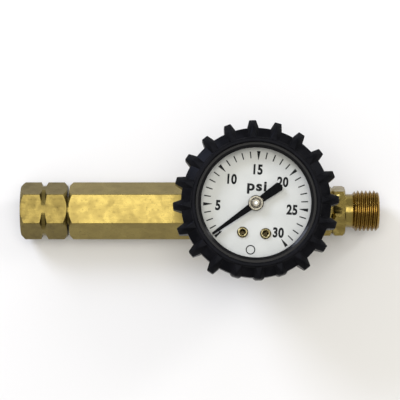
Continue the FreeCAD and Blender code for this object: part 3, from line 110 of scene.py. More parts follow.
class Look:
    """A material under construction. Each method adds nodes and returns the last one's output."""

    def __init__(self, name):
        self.material = bpy.data.materials.new(name)
        self.material.use_nodes = True
        self.tree = self.material.node_tree
        self.tree.nodes.clear()

    def add(self, kind, inputs=None, output=0, **settings):
        """Add a node. Inputs are other nodes' outputs or plain values."""
        made = self.tree.nodes.new("ShaderNode" + kind)
        for key, value in settings.items():
            setattr(made, key, value)
        for key, value in (inputs or {}).items():
            if isinstance(value, bpy.types.NodeSocket):
                self.tree.links.new(value, made.inputs[key])
            else:
                made.inputs[key].default_value = value
        return made.outputs[output] if len(made.outputs) else None

    def places(self, stretch=(1, 1, 1)):
        """Places on the piece in millimetres, with each axis divided by its stretch."""
        where = self.add("TexCoord", output="Object")
        scale = [1 / MM / s for s in stretch]
        return self.add("Mapping", {"Vector": where, "Scale": scale})

    def noise(self, size, stretch=(1, 1, 1), detail=3.0, roughness=0.5, warp=0.0):
        """Noise with features of about a size in millimetres, from 0 to 1."""
        inputs = {"Vector": self.places(stretch), "Scale": 1 / size, "Detail": detail,
                  "Roughness": roughness, "Distortion": warp}
        return self.add("TexNoise", inputs)

    def ramp(self, value, start, end, out_start=0.0, out_end=1.0):
        """A value between start and end, carried over to the range between out_start and out_end."""
        inputs = {"Value": value, "From Min": start, "From Max": end, "To Min": out_start, "To Max": out_end}
        return self.add("MapRange", inputs)

    def math(self, operation, first, second):
        return self.add("Math", {0: first, 1: second}, operation=operation)

    def mix(self, share, first, second):
        """Mix of two colours."""
        inputs = {0: share, 6: first, 7: second}
        return self.add("Mix", inputs, output=2, data_type="RGBA")

    def rounded_normal(self, radius):
        """The surface's normal with the edges rounded by a radius in millimetres."""
        return self.add("Bevel", {"Radius": radius * MM}, samples=BEVEL_SAMPLES)

    def edges(self, radius):
        """1 along the edges and 0 on the faces, from how far a rounded normal leans from the real one."""
        rounded = self.rounded_normal(radius)
        flat = self.add("NewGeometry", output="Normal")
        lean = self.add("VectorMath", {0: rounded, 1: flat}, output="Value", operation="DOT_PRODUCT")
        return self.ramp(lean, 1.0, 0.93)

    def bump(self, height, strength, depth, normal=None):
        """A normal that leans with a height, whose relief has a depth in millimetres."""
        inputs = {"Height": height, "Strength": strength, "Distance": depth * MM}
        if normal is not None:
            inputs["Normal"] = normal
        return self.add("Bump", inputs)

    def finish(self, **inputs):
        """Close the tree with a Principled shader. Names such as Base_Color stand for its sockets."""
        named = {key.replace("_", " "): value for key, value in inputs.items()}
        shader = self.add("BsdfPrincipled", named)
        self.add("OutputMaterial", {"Surface": shader})
        return self.material


def brass(name, bright, dull, rough, mottle, grain, edge, relief, painted_bounce_tint=None):
    """Brass with dull patches of about a mottle's size, fine specks, tool or drawing marks along its grain,
    and edges rubbed over a radius. A painted bounce tint, darker and more orange, stands for the light that
    bounces between the thread's flanks; it starts just right of the neck."""
    look = Look(name)
    patches = look.noise(mottle, detail=5, roughness=0.6, warp=0.4)
    specks = look.noise(0.35, detail=2)
    marks = look.noise(0.12, grain, detail=2)
    rubbed = look.edges(edge)
    share = look.ramp(patches, 0.40, 0.66)
    share = look.math("MULTIPLY", share, look.ramp(specks, 0.25, 0.60, 0.75, 1.0))
    tarnish = look.math("MULTIPLY", look.ramp(look.noise(0.9, detail=4), 0.60, 0.72), 0.55)
    colour = look.mix(share, bright, dull)
    # Painted bounce light: from TINT_START to TINT_END the thread is coloured darker and more orange.
    if painted_bounce_tint:
        along = look.add("SeparateXYZ", {0: look.places()})
        colour = look.mix(look.ramp(along, TINT_START, TINT_END), colour, painted_bounce_tint)
    colour = look.mix(tarnish, colour, [c * 0.55 for c in dull[:3]] + [1])
    stains = look.noise(0.55, detail=4)
    grime = look.math("MULTIPLY", look.edges(0.5), look.ramp(stains, 0.54, 0.64))
    colour = look.mix(look.math("MULTIPLY", grime, 0.75), colour, [0.045, 0.030, 0.012, 1])
    shine = look.math("MULTIPLY", rubbed, look.ramp(patches, 0.35, 0.6, 1.0, 0.2))
    polished = [c * 1.25 for c in bright[:3]] + [1]
    colour = look.mix(look.math("MULTIPLY", shine, 0.55), colour, polished)
    roughness = look.ramp(share, 0, 1, rough, rough + 0.12)
    roughness = look.math("ADD", roughness, look.ramp(marks, 0.3, 0.7, -0.04, 0.05))
    normal = look.bump(patches, relief, 0.06, look.rounded_normal(edge))
    normal = look.bump(marks, 0.25, 0.012, normal)
    return look.finish(Base_Color=colour, Metallic=1.0, Roughness=roughness, Normal=normal)


def metal(name, colour, darker, rough):
    """Plain bright metal with fine marks and slightly uneven polish."""
    look = Look(name)
    cloud = look.noise(2.5, detail=3)
    marks = look.noise(0.15, detail=2)
    tone = look.mix(look.ramp(cloud, 0.35, 0.7), colour, darker)
    roughness = look.ramp(marks, 0.3, 0.7, rough - 0.03, rough + 0.06)
    normal = look.bump(marks, 0.2, 0.008, look.rounded_normal(0.06))
    return look.finish(Base_Color=tone, Metallic=1.0, Roughness=roughness, Normal=normal)


def rubber(name):
    """Moulded black rubber: a fine matt skin, dusty bloom in patches and rubbed edges."""
    look = Look(name)
    bloom = look.noise(5.0, detail=5, roughness=0.65)
    skin = look.noise(0.16, detail=3)
    dimples = look.noise(0.7, detail=3)
    colour = look.mix(look.ramp(bloom, 0.42, 0.72), [0.0028, 0.0028, 0.0034, 1], [0.0070, 0.0070, 0.0085, 1])
    rubbed = look.math("MULTIPLY", look.edges(0.25), look.ramp(dimples, 0.4, 0.65, 0.2, 0.8))
    colour = look.mix(rubbed, colour, [0.016, 0.016, 0.018, 1])
    patchy = look.ramp(bloom, 0.35, 0.7, 0.30, 0.46)
    roughness = look.math("ADD", patchy, look.ramp(skin, 0.3, 0.7, -0.05, 0.05))
    normal = look.bump(dimples, 0.30, 0.03)
    normal = look.bump(skin, 0.35, 0.012, normal)
    # The bluish specular tint is a painted sheen colour, standing in for the blue of the key light's
    # reflection.
    return look.finish(Base_Color=colour, Roughness=roughness, Normal=normal, Specular_IOR_Level=0.045,
                       Specular_Tint=[0.80, 0.84, 1.0, 1])


def gloss_black(name, rough, sheen):
    """Black stove enamel or gloss plastic with faint orange peel and a few fine scuffs."""
    look = Look(name)
    peel = look.noise(1.1, detail=2)
    scuffs = look.noise(1.4, (3, 1, 1), detail=3)
    colour = look.mix(look.ramp(scuffs, 0.60, 0.80), [0.006, 0.006, 0.0065, 1], [0.012, 0.012, 0.012, 1])
    roughness = look.math("ADD", rough, look.ramp(scuffs, 0.5, 0.8, 0.0, 0.10))
    normal = look.bump(peel, 0.25, 0.01, look.rounded_normal(0.1))
    return look.finish(Base_Color=colour, Roughness=roughness, Normal=normal, Specular_IOR_Level=sheen)


def lacquer(name):
    """White dial lacquer, very slightly uneven."""
    look = Look(name)
    cloud = look.noise(7.0, detail=3)
    grit = look.noise(0.3, detail=3)
    colour = look.mix(look.ramp(cloud, 0.3, 0.75), [0.62, 0.605, 0.585, 1], [0.54, 0.53, 0.515, 1])
    roughness = look.ramp(grit, 0.3, 0.7, 0.34, 0.44)
    normal = look.bump(grit, 0.15, 0.004)
    return look.finish(Base_Color=colour, Roughness=roughness, Normal=normal)


def ink(name):
    """Printed black ink with thin spots."""
    look = Look(name)
    thin = look.noise(0.22, detail=4)
    colour = look.mix(look.ramp(thin, 0.55, 0.8), [0.006, 0.006, 0.007, 1], [0.025, 0.025, 0.026, 1])
    roughness = look.ramp(thin, 0.3, 0.7, 0.5, 0.62)
    return look.finish(Base_Color=colour, Roughness=roughness, Specular_IOR_Level=0.15)


def clear(name):
    """Clear acrylic that lets light straight through. Its gloss is smeared and grows at low angles."""
    look = Look(name)
    smears = look.noise(6.0, (1, 2.5, 1), detail=4)
    roughness = look.ramp(smears, 0.45, 0.75, 0.03, 0.12)
    shine = look.add("BsdfGlossy", {"Color": [1, 1, 1, 1], "Roughness": roughness})
    through = look.add("BsdfTransparent", {"Color": [0.965, 0.975, 0.972, 1]})
    facing = look.add("LayerWeight", {"Blend": 0.5}, output="Facing")
    grazing = look.math("MULTIPLY", look.math("POWER", facing, 4.0), 0.45)
    surface = look.add("MixShader", {0: grazing, 1: through, 2: shine})
    look.add("OutputMaterial", {"Surface": surface})
    return look.material


LOOKS = {
    "hex_brass": brass("worn_hex_brass", [0.242, 0.188, 0.056, 1], [0.202, 0.154, 0.047, 1],
                       rough=0.25, mottle=5.0, grain=ALONG_BAR, edge=0.18, relief=0.14),
    "turned_brass": brass("turned_brass", [0.29, 0.22, 0.062, 1], [0.20, 0.15, 0.042, 1],
                          rough=0.20, mottle=3.0, grain=ROUND_BAR, edge=0.10, relief=0.06),
    "movement_brass": metal("movement_brass", [0.34, 0.26, 0.09, 1], [0.26, 0.19, 0.06, 1], 0.24),
    "rivet_brass": metal("rivet_brass", [0.27, 0.23, 0.13, 1], [0.14, 0.11, 0.05, 1], 0.20),
    "tube_bronze": metal("phosphor_bronze", [0.40, 0.24, 0.12, 1], [0.29, 0.16, 0.08, 1], 0.28),
    "steel": metal("bright_steel", [0.36, 0.36, 0.37, 1], [0.26, 0.26, 0.27, 1], 0.26),
    "nickel": metal("nickel_plate", [0.170, 0.155, 0.130, 1], [0.100, 0.088, 0.072, 1], 0.20),
    "black_enamel": gloss_black("black_enamel", 0.62, 0.015),
    "black_bezel": gloss_black("gloss_black_bezel", 0.16, 0.09),
    "clear_lens": clear("clear_acrylic"),
    "black_rubber": rubber("moulded_rubber"),
    "white_dial": lacquer("dial_lacquer"),
}
INK = ink("dial_ink")
# Brass for the threaded adapter, with the painted bounce tint on its thread.
THREADED_BRASS = brass("threaded_brass", [0.28, 0.215, 0.062, 1], [0.19, 0.14, 0.040, 1],
                       rough=0.20, mottle=3.0, grain=ROUND_BAR, edge=0.10, relief=0.05,
                       painted_bounce_tint=[0.26, 0.160, 0.033, 1])
HANDLED_BRASS = brass("handled_brass", [0.165, 0.126, 0.037, 1], [0.128, 0.096, 0.029, 1],
                      rough=0.29, mottle=3.5, grain=ALONG_BAR, edge=0.18, relief=0.14)
# Painted shade: a near-black brass for the dial posts, so the rivet bores above them look dark.
POST_PAINTED_SHADE = metal("painted_shade_brass", [0.055, 0.042, 0.020, 1], [0.030, 0.023, 0.012, 1], 0.35)

for entry in frame["record"]["subparts"]:
    node = frame["nodes"][entry["node"]]
    node.data.materials.clear()
    node.data.materials.append(LOOKS[entry["material_slot"]])
# The dial posts take the painted shade, standing in for the shade down the rivet bores.
for side in ("left", "right"):
    frame["nodes"]["dial_post_" + side].data.materials[0] = POST_PAINTED_SHADE
frame["nodes"]["swivel_nut"].data.materials[0] = HANDLED_BRASS


# ---------------------------------------------------------------------------------------------------------
# Mesh helpers
# ---------------------------------------------------------------------------------------------------------
WELD = 1e-4
ARC_STEPS = 5


def mesh_of(name, points, faces):
    """A mesh from points in millimetres, with doubled points joined and its faces turned outwards."""
    build = bmesh.new()
    corners = [build.verts.new(Vector(point) * MM) for point in points]
    for face in faces:
        if len(set(face)) > 2:
            build.faces.new([corners[i] for i in face])
    return closed_mesh(name, build)


def closed_mesh(name, build, sharp=35):
    """Finish a bmesh: join doubled points, turn the faces outwards, and shade it smooth up to an angle."""
    bmesh.ops.remove_doubles(build, verts=build.verts, dist=WELD * MM)
    bmesh.ops.dissolve_degenerate(build, edges=build.edges, dist=WELD * MM)
    bmesh.ops.recalc_face_normals(build, faces=build.faces)
    mesh = bpy.data.meshes.new(name)
    build.to_mesh(mesh)
    build.free()
    mesh.shade_smooth()
    mesh.set_sharp_from_angle(angle=math.radians(sharp))
    return mesh


def show(name, mesh, body, slot, material=None, stands_for=()):
    """Put a mesh in the scene as a piece that rides on a body."""
    piece = bpy.data.objects.new(name, mesh)
    SCENE.collection.objects.link(piece)
    mesh.materials.clear()
    mesh.materials.append(material or LOOKS[slot])
    if body:
        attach(piece, body)
    if stands_for:
        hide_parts(*stands_for)
    return piece


def rounded(corners):
    """A closed outline through (across, up, radius) corners, each rounded by an arc of its radius."""
    points = []
    count = len(corners)
    for i, (across, up, radius) in enumerate(corners):
        corner = Vector((across, up))
        if not radius:
            points.append(tuple(corner))
            continue
        before = (Vector(corners[i - 1][:2]) - corner).normalized()
        after = (Vector(corners[(i + 1) % count][:2]) - corner).normalized()
        half = before.angle(after) / 2
        centre = corner + (before + after).normalized() * radius / math.sin(half)
        first = corner + before * radius / math.tan(half) - centre
        last = corner + after * radius / math.tan(half) - centre
        for k in range(ARC_STEPS + 1):
            towards = first.normalized().slerp(last.normalized(), k / ARC_STEPS)
            points.append(tuple(centre + towards * radius))
    return points


def lathe(name, outline, steps, centre=(0, 0)):
    """Turn a closed outline of (radius, height) about a vertical axis."""
    points = []
    for k in range(steps):
        angle = math.tau * k / steps
        for radius, height in outline:
            x = centre[0] + radius * math.cos(angle)
            y = centre[1] + radius * math.sin(angle)
            points.append((x, y, height))
    count = len(outline)
    faces = []
    for k in range(steps):
        this = k * count
        following = (k + 1) % steps * count
        for i in range(count):
            j = (i + 1) % count
            faces.append((this + i, following + i, following + j, this + j))
    return mesh_of(name, points, faces)


def polar(reach, degrees):
    """A point on the upright dial, in millimetres."""
    angle = math.radians(degrees)
    return Vector((reach * math.cos(angle), reach * math.sin(angle), 0))


# ---------------------------------------------------------------------------------------------------------
# Rubber boot
# ---------------------------------------------------------------------------------------------------------
BOOT_BACK = low("rubber_boot", 2)
BOOT_FRONT = high("rubber_boot", 2)
CASE_RADIUS = high("gauge_case", 0)
CASE_BACK = low("gauge_case", 2)
BEZEL_RADIUS = high("bezel", 0)
BEZEL_BACK = low("bezel", 2)
BEZEL_FRONT = high("bezel", 2)
RING = 25.0
BEAD = 21.4
LIP = 20.1
SIDE = 22.6
STEM_HOLE = 11.0
TOOTH_COUNT = 20
TOOTH_TURN = 2.25
TOOTH_TIP = 27.7
TRIMMED_TIP = 25.7
TRIMMED = (14, 15, 16)
TOOTH_ROOT = BEAD - 0.1
ROOT_HALF = 1.35
SHOULDER_HALF = 1.95
TIP_HALF = 1.15
ROOT_FRONT = 48.5
ROOT_BACK = 40.0
SHOULDER_FRONT = 46.3
SHOULDER_BACK = 35.5
TIP_FRONT = 45.6
TIP_BACK = 38.5
RIDGE_TOP = 48.2
TOOTH_ROUNDING = 0.26
BOOT_SHARP = 32


def boot_ring():
    """The boot without its teeth: a cup round the case with a bead and a lip at the front. Its outline holds
    (radius, height, rounding)."""
    outline = rounded([
        (STEM_HOLE, BOOT_BACK, 0.4),
        (SIDE - 0.8, BOOT_BACK, 2.2),
        (SIDE + 0.4, 36.0, 2.0),
        (RING, 40.0, 1.2),
        (RING, 46.5, 0.45),
        (BEAD + 0.45, 48.15, 0.3),
        (BEAD + 0.02, BOOT_FRONT, 0.45),
        (LIP, BOOT_FRONT, 0.45),
        (LIP, BEZEL_FRONT, 0),
        (BEZEL_RADIUS - 0.4, BEZEL_FRONT, 0),
        (BEZEL_RADIUS, BEZEL_FRONT - 0.4, 0),
        (BEZEL_RADIUS, BEZEL_BACK, 0),
        (CASE_RADIUS, BEZEL_BACK, 0),
        (CASE_RADIUS, CASE_BACK, 2.0),
        (STEM_HOLE, CASE_BACK, 0.4),
    ])
    return lathe("boot_ring", outline, 240)


def boot_tooth(tip):
    """One tooth along +X with rounded edges: a three-cornered facet rises from the lip to a ridge, which
    runs out to the bevelled end."""
    def pair(reach, half_width, height):
        return [(reach, half_width, height), (reach, -half_width, height)]

    points = pair(TOOTH_ROOT, ROOT_HALF, ROOT_FRONT) + pair(TOOTH_ROOT, ROOT_HALF, ROOT_BACK)
    points += pair(RING, SHOULDER_HALF, SHOULDER_FRONT) + pair(RING, SHOULDER_HALF, SHOULDER_BACK)
    points += pair(tip, TIP_HALF, TIP_FRONT) + pair(tip, TIP_HALF, TIP_BACK)
    points.append((RING + 0.4, 0, RIDGE_TOP))
    start_front, start_back, shoulder_front, shoulder_back, tip_front, tip_back = range(0, 12, 2)
    ridge = 12
    faces = [
        (start_front, start_front + 1, ridge),
        (ridge, tip_front, tip_front + 1),
        (tip_front, tip_front + 1, tip_back + 1, tip_back),
        (start_front, start_front + 1, start_back + 1, start_back),
        (shoulder_back, shoulder_back + 1, tip_back + 1, tip_back),
        (shoulder_back, shoulder_back + 1, start_back + 1, start_back),
    ]
    for side in (0, 1):
        faces += [
            (start_front + side, ridge, shoulder_front + side),
            (ridge, tip_front + side, shoulder_front + side),
            (start_front + side, shoulder_front + side, shoulder_back + side, start_back + side),
            (shoulder_front + side, tip_front + side, tip_back + side, shoulder_back + side),
        ]
    build = bmesh.new()
    corners = [build.verts.new(point) for point in points]
    for face in faces:
        build.faces.new([corners[i] for i in face])
    bmesh.ops.recalc_face_normals(build, faces=build.faces)
    bmesh.ops.bevel(build, geom=build.edges[:], offset=TOOTH_ROUNDING, segments=3, profile=0.5,
                    affect="EDGES")
    return build


def rubber_boot():
    """The cup and its 20 teeth as one moulding. Three teeth, at the bottom, are trimmed short."""
    teeth = bmesh.new()
    for tooth in range(TOOTH_COUNT):
        build = boot_tooth(TRIMMED_TIP if tooth in TRIMMED else TOOTH_TIP)
        turn = math.radians(360 / TOOTH_COUNT * tooth + TOOTH_TURN)
        build.transform(Matrix.Rotation(turn, 4, "Z") @ Matrix.Diagonal((MM, MM, MM, 1)))
        part = bpy.data.meshes.new("tooth")
        build.to_mesh(part)
        teeth.from_mesh(part)
        build.free()
        bpy.data.meshes.remove(part)
    ring = bpy.data.objects.new("boot_ring", boot_ring())
    cutter = bpy.data.objects.new("boot_teeth", closed_mesh("boot_teeth", teeth))
    for made in (ring, cutter):
        SCENE.collection.objects.link(made)
    union = ring.modifiers.new("teeth", "BOOLEAN")
    union.operation = "UNION"
    union.solver = "EXACT"
    union.object = cutter
    shape = applied(ring, "boot_moulding")
    for made in (ring, cutter):
        bpy.data.objects.remove(made)
    shape.shade_smooth()
    shape.set_sharp_from_angle(angle=math.radians(BOOT_SHARP))
    show("boot_moulding", shape, "manifold", "black_rubber", stands_for=["rubber_boot"])


def applied(piece, name):
    """A new mesh of an object with its modifiers applied."""
    bpy.context.view_layer.update()
    ready = piece.evaluated_get(bpy.context.evaluated_depsgraph_get())
    mesh = bpy.data.meshes.new_from_object(ready)
    mesh.name = name
    return mesh


# ---------------------------------------------------------------------------------------------------------
# Outlet thread
# ---------------------------------------------------------------------------------------------------------
PITCH = 25.4 / 18
THREAD_TOP = 7.12
THREAD_ROOT = 6.25
CREST = 0.25 / PITCH
FLANK = (1 - 2 * CREST) / 2
ROOT_END = 2 * CREST + FLANK
THREAD_STEPS = 120
FLANK_STEPS = 5
TURNS = range(-1, 8)
NECK_RADIUS = 5.85
NECK_END = 34.75
RUN_OUT = 1.2
FIRST_CREST = 35.3
OUTLET_END = high("outlet_adapter", 0)
SEAT_MOUTH = 4.4
SEAT_DEPTH = 3.2
BORE = 2.5
CUT_AT = 33.0
JOIN_AT = 33.4
CAD_WELD = 0.002
THREAD_WELD = 0.001


def thread_row(share):
    """Radius of the thread at a share of its pitch: crest, flank, root, flank."""
    if share <= CREST:
        return THREAD_TOP
    if share <= CREST + FLANK:
        return THREAD_TOP - (THREAD_TOP - THREAD_ROOT) * (share - CREST) / FLANK
    if share <= ROOT_END:
        return THREAD_ROOT
    return THREAD_ROOT + (THREAD_TOP - THREAD_ROOT) * (share - ROOT_END) / FLANK


def thread_shell():
    """A left-hand thread with the neck, the end face and the bore, open where it joins the adapter. Each row
    runs back one pitch in a turn, and stops at the neck and at the end face."""
    marks = [0, CREST]
    marks += [CREST + FLANK * k / FLANK_STEPS for k in range(1, FLANK_STEPS + 1)]
    marks += [ROOT_END]
    marks += [ROOT_END + FLANK * k / FLANK_STEPS for k in range(1, FLANK_STEPS)]
    rows = [(turn + mark, thread_row(mark)) for turn in TURNS for mark in marks]
    points = []
    for k in range(THREAD_STEPS + 1):
        share = k / THREAD_STEPS
        column = [(JOIN_AT, NECK_RADIUS)]
        for place, radius in rows:
            along = min(max(FIRST_CREST + PITCH * (place - share), NECK_END), OUTLET_END)
            limit = min(NECK_RADIUS + RUN_OUT * (along - NECK_END), THREAD_ROOT + OUTLET_END - along)
            column.append((along, min(radius, limit)))
        column += [(OUTLET_END, SEAT_MOUTH), (OUTLET_END - SEAT_DEPTH, BORE), (JOIN_AT, BORE)]
        angle = math.tau * share
        points += [(x, r * math.cos(angle), AXIS_HEIGHT + r * math.sin(angle)) for x, r in column]
    count = len(rows) + 4
    faces = []
    for k in range(THREAD_STEPS):
        for i in range(count - 1):
            a = k * count + i
            b = a + count
            faces.append((a, b, b + 1, a + 1))
    return points, faces


def outlet_thread():
    """The adapter with its rings of thread exchanged for a real helix."""
    build = bmesh.new()
    build.from_mesh(frame["nodes"]["outlet_adapter"].data)
    bmesh.ops.remove_doubles(build, verts=build.verts, dist=CAD_WELD * MM)
    geometry = build.verts[:] + build.edges[:] + build.faces[:]
    bmesh.ops.bisect_plane(build, geom=geometry, plane_co=(CUT_AT * MM, 0, 0), plane_no=(1, 0, 0),
                           clear_outer=True)
    points, faces = thread_shell()
    corners = [build.verts.new(Vector(point) * MM) for point in points]
    for face in faces:
        build.faces.new([corners[i] for i in face])
    bmesh.ops.remove_doubles(build, verts=build.verts, dist=THREAD_WELD * MM)
    bmesh.ops.dissolve_degenerate(build, edges=build.edges, dist=THREAD_WELD * MM)
    between = (NECK_RADIUS + BORE) / 2
    rims = {True: [], False: []}
    for edge in build.edges:
        if edge.is_boundary:
            spot = edge.verts[0].co / MM
            rims[math.hypot(spot.y, spot.z - AXIS_HEIGHT) > between].append(edge)
    for rim in rims.values():
        bmesh.ops.bridge_loops(build, edges=rim)
    mesh = closed_mesh("adapter_threaded", build, sharp=18)
    show("adapter_threaded", mesh, "manifold", "turned_brass", THREADED_BRASS, ["outlet_adapter"])


# ---------------------------------------------------------------------------------------------------------
# Bezel, hub and rivets
# ---------------------------------------------------------------------------------------------------------
def bezel_ring():
    """The gloss black ring round the glass, with a bevel down to it."""
    lens_front = high("lens", 2)
    opening = 18.3
    outline = rounded([
        (CASE_RADIUS, BEZEL_BACK, 0.15),
        (BEZEL_RADIUS, BEZEL_BACK, 0.3),
        (BEZEL_RADIUS, BEZEL_FRONT, 0.7),
        (opening + 0.95, BEZEL_FRONT, 0.35),
        (opening, BEZEL_FRONT - 0.55, 0.2),
        (opening, lens_front, 0.05),
        (CASE_RADIUS, lens_front, 0),
    ])
    show("bezel_ring", lathe("bezel_ring", outline, 192), "manifold", "black_bezel", stands_for=["bezel"])


def pointer_hub():
    """A turned nickel hub: a rounded rim, a shallow dish and a raised boss with the arbor's end in it."""
    bottom = low("pointer_hub", 2)
    top = high("pointer_hub", 2)
    sheet_back = low("pointer", 2)
    sheet_front = high("pointer", 2)
    disc = high("pointer_hub", 0) - middle("pointer_hub").x
    bush = 1.0
    arbor = 0.6
    outline = rounded([
        (arbor, bottom, 0),
        (bush, bottom, 0.1),
        (bush, sheet_back, 0),
        (bush, sheet_front, 0),
        (disc, sheet_front, 0.1),
        (disc, top - 0.12, 0.32),
        (disc - 0.75, top - 0.16, 0.25),
        (1.4, top - 0.30, 0.12),
        (1.25, top, 0.14),
        (arbor, top, 0.05),
    ])
    show("hub_turned", lathe("hub_turned", outline, 96), "needle", "nickel", stands_for=["pointer_hub"])


def dial_rivets():
    """Hollow rivets with their ends rolled over on the dial."""
    shank = 1.0
    bore = 0.72
    head = 1.88
    rim = 0.12
    bottom = low("dial_rivet_left", 2)
    roll = (head - bore) / 2
    rise = high("dial_rivet_left", 2) - DIAL_FRONT
    outline = [(bore, bottom), (shank, bottom), (shank, DIAL_FRONT), (head, DIAL_FRONT)]
    steps = 14
    for k in range(1, steps):
        lean = math.pi * k / steps
        radius = bore + roll * (1 + math.cos(lean))
        height = DIAL_FRONT + rim + (rise - rim) * math.sin(lean)
        outline.append((radius, height))
    for spot, side in zip(RIVETS, ("left", "right")):
        mesh = lathe("eyelet_" + side, outline, 72, (spot.x, spot.y))
        show("eyelet_" + side, mesh, "manifold", "rivet_brass", stands_for=["dial_rivet_" + side])


# ---------------------------------------------------------------------------------------------------------
# Bourdon tube
# ---------------------------------------------------------------------------------------------------------
TUBE_REACH = 15.5
TUBE_THICK = 2.2
TUBE_WIDE = 6.0
TUBE_WALL = 0.35
TUBE_START = -5.0
TUBE_STOP = 260.0
TUBE_STEPS = 132
SIDE_STEPS = 8


def flattened(grow):
    """Points round the tube's section, (out, up) from its middle: two flat sides joined by half circles."""
    half = TUBE_THICK / 2 + grow
    straight = (TUBE_WIDE - TUBE_THICK) / 2
    points = []
    for end in (1, -1):
        for k in range(SIDE_STEPS + 1):
            lean = math.radians(180 * k / SIDE_STEPS)
            points.append((end * half * math.cos(lean), end * (straight + half * math.sin(lean))))
    return points


def bourdon_tube():
    """The flattened tube. Its free end follows the tip, and the bend runs out a quarter turn further on."""
    centre_up = middle("bourdon_tube").z
    loops = [flattened(0), flattened(-TUBE_WALL)]
    count = len(loops[0])
    points = []
    for k in range(TUBE_STEPS + 1):
        direction = math.radians(TUBE_START + (TUBE_STOP - TUBE_START) * k / TUBE_STEPS) + GAUGE_TURN
        for loop in loops:
            for out, up in loop:
                reach = TUBE_REACH + out
                points.append((reach * math.cos(direction), reach * math.sin(direction), centre_up + up))
    faces = []
    for i in range(count):
        j = (i + 1) % count
        for k in range(TUBE_STEPS):
            a = 2 * count * k
            b = 2 * count * (k + 1)
            faces.append((a + i, b + i, b + j, a + j))
            faces.append((a + count + j, b + count + j, b + count + i, a + count + i))
        for ring in (0, 2 * count * TUBE_STEPS):
            faces.append((ring + i, ring + j, ring + count + j, ring + count + i))
    tube = show("tube_flattened", mesh_of("tube_flattened", points, faces), None, "tube_bronze",
                stands_for=["bourdon_tube"])
    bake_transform(tube)


# ---------------------------------------------------------------------------------------------------------
# Printed dial
# ---------------------------------------------------------------------------------------------------------
PRINT_LIFT = 0.03
DEGREES_PER_PSI = 9.4
TOP_PSI = 15
MAJOR_OUTER = 17.6
MAJOR_INNER = 14.7
MINOR_OUTER = 17.5
MINOR_INNER = 15.2
MINOR_HALVES = (0.18, 0.21)
MAJOR_HALVES = (0.08, 0.60)
ZERO_HALVES = (0.10, 0.50)
ZERO_OFF = -132.6
NUMERALS = {"5": (-12.6, -1.35), "10": (-8.4, 7.7), "15": (0.1, 11.4), "20": (8.6, 7.75), "25": (12.2, -1.4),
            "30": (8.1, -9.3)}
NUMERAL_HEIGHT = 3.5
NUMERAL_SQUEEZE = 0.80
NUMERAL_WEIGHT = 0.044
NUMERAL_SPACING = 1.08
UNIT_SPOT = (0.05, 5.3)
UNIT_HEIGHT = 4.4
UNIT_SQUEEZE = 1.14
UNIT_WEIGHT = 0.036
UNIT_SPACING = 1.16
MARK_SPOT = (-0.85, -15.6)
MARK_OUTER = 1.6
MARK_INNER = 1.25
MARK_STEPS = 48


def on_dial(build):
    """Turn a print drawn on the upright dial with the gauge, and lay it on the dial's face."""
    lift = Matrix.Translation((0, 0, DIAL_FRONT * MM))
    build.transform(lift @ Matrix.Rotation(GAUGE_TURN, 4, "Z") @ Matrix.Diagonal((MM, MM, MM, 1)))


def slab(build, outline):
    """A thin flat shape of ink over an outline of dial points."""
    count = len(outline)
    back = [build.verts.new((x, y, 0)) for x, y in outline]
    front = [build.verts.new((x, y, PRINT_LIFT)) for x, y in outline]
    build.faces.new(front)
    build.faces.new(back[::-1])
    for i in range(count):
        j = (i + 1) % count
        build.faces.new((back[i], back[j], front[j], front[i]))


def tick(build, direction, inner, outer, inner_half, outer_half):
    """A radial mark on the dial, with its half widths at both ends. Direction is in degrees past the top."""
    along = polar(1, 90 - direction)
    across = Vector((-along.y, along.x, 0))
    corners = [
        along * inner - across * inner_half,
        along * outer - across * outer_half,
        along * outer + across * outer_half,
        along * inner + across * inner_half,
    ]
    slab(build, [(corner.x, corner.y) for corner in corners])


def dial_scale():
    """Marks from 2 to 30 psi, one at each psi and a wedge at each fifth, and the wedge at the stop."""
    build = bmesh.new()
    for psi in range(2, 31):
        direction = (psi - TOP_PSI) * DEGREES_PER_PSI
        if psi % 5:
            tick(build, direction, MINOR_INNER, MINOR_OUTER, *MINOR_HALVES)
        else:
            tick(build, direction, MAJOR_INNER, MAJOR_OUTER, *MAJOR_HALVES)
    tick(build, ZERO_OFF, MAJOR_INNER, MAJOR_OUTER, *ZERO_HALVES)
    on_dial(build)
    show("dial_scale", closed_mesh("dial_scale", build), "manifold", "white_dial", INK)


def lettering(words, height, squeeze, weight, spacing):
    """A flat mesh of text centred on its own middle, in millimetres, as tall as asked."""
    curve = bpy.data.curves.new("lettering", "FONT")
    curve.body = words
    curve.bevel_depth = weight
    curve.bevel_resolution = 1
    curve.space_character = spacing
    curve.extrude = 0.5
    curve.resolution_u = 6
    letters = bpy.data.objects.new("lettering", curve)
    SCENE.collection.objects.link(letters)
    mesh = applied(letters, "lettering")
    bpy.data.objects.remove(letters)
    bpy.data.curves.remove(curve)
    places = np.empty(len(mesh.vertices) * 3, np.float32)
    mesh.vertices.foreach_get("co", places)
    places = places.reshape(-1, 3)
    lowest = places.min(0)
    highest = places.max(0)
    scale = height / (highest[1] - lowest[1])
    places -= (lowest + highest) / 2
    places *= (scale * squeeze, scale, PRINT_LIFT)
    places[:, 2] += PRINT_LIFT / 2
    mesh.vertices.foreach_set("co", places.ravel())
    return mesh


def dial_lettering():
    """The numerals and the unit."""
    numeral_style = (NUMERAL_HEIGHT, NUMERAL_SQUEEZE, NUMERAL_WEIGHT, NUMERAL_SPACING)
    unit_style = (UNIT_HEIGHT, UNIT_SQUEEZE, UNIT_WEIGHT, UNIT_SPACING)
    words = [(text, spot, numeral_style) for text, spot in NUMERALS.items()]
    words.append(("psi", UNIT_SPOT, unit_style))
    build = bmesh.new()
    for text, (across, up), style in words:
        mesh = lettering(text, *style)
        mesh.transform(Matrix.Translation((across, up, 0)))
        build.from_mesh(mesh)
        bpy.data.meshes.remove(mesh)
    on_dial(build)
    show("dial_numerals", closed_mesh("dial_numerals", build), "manifold", "white_dial", INK)


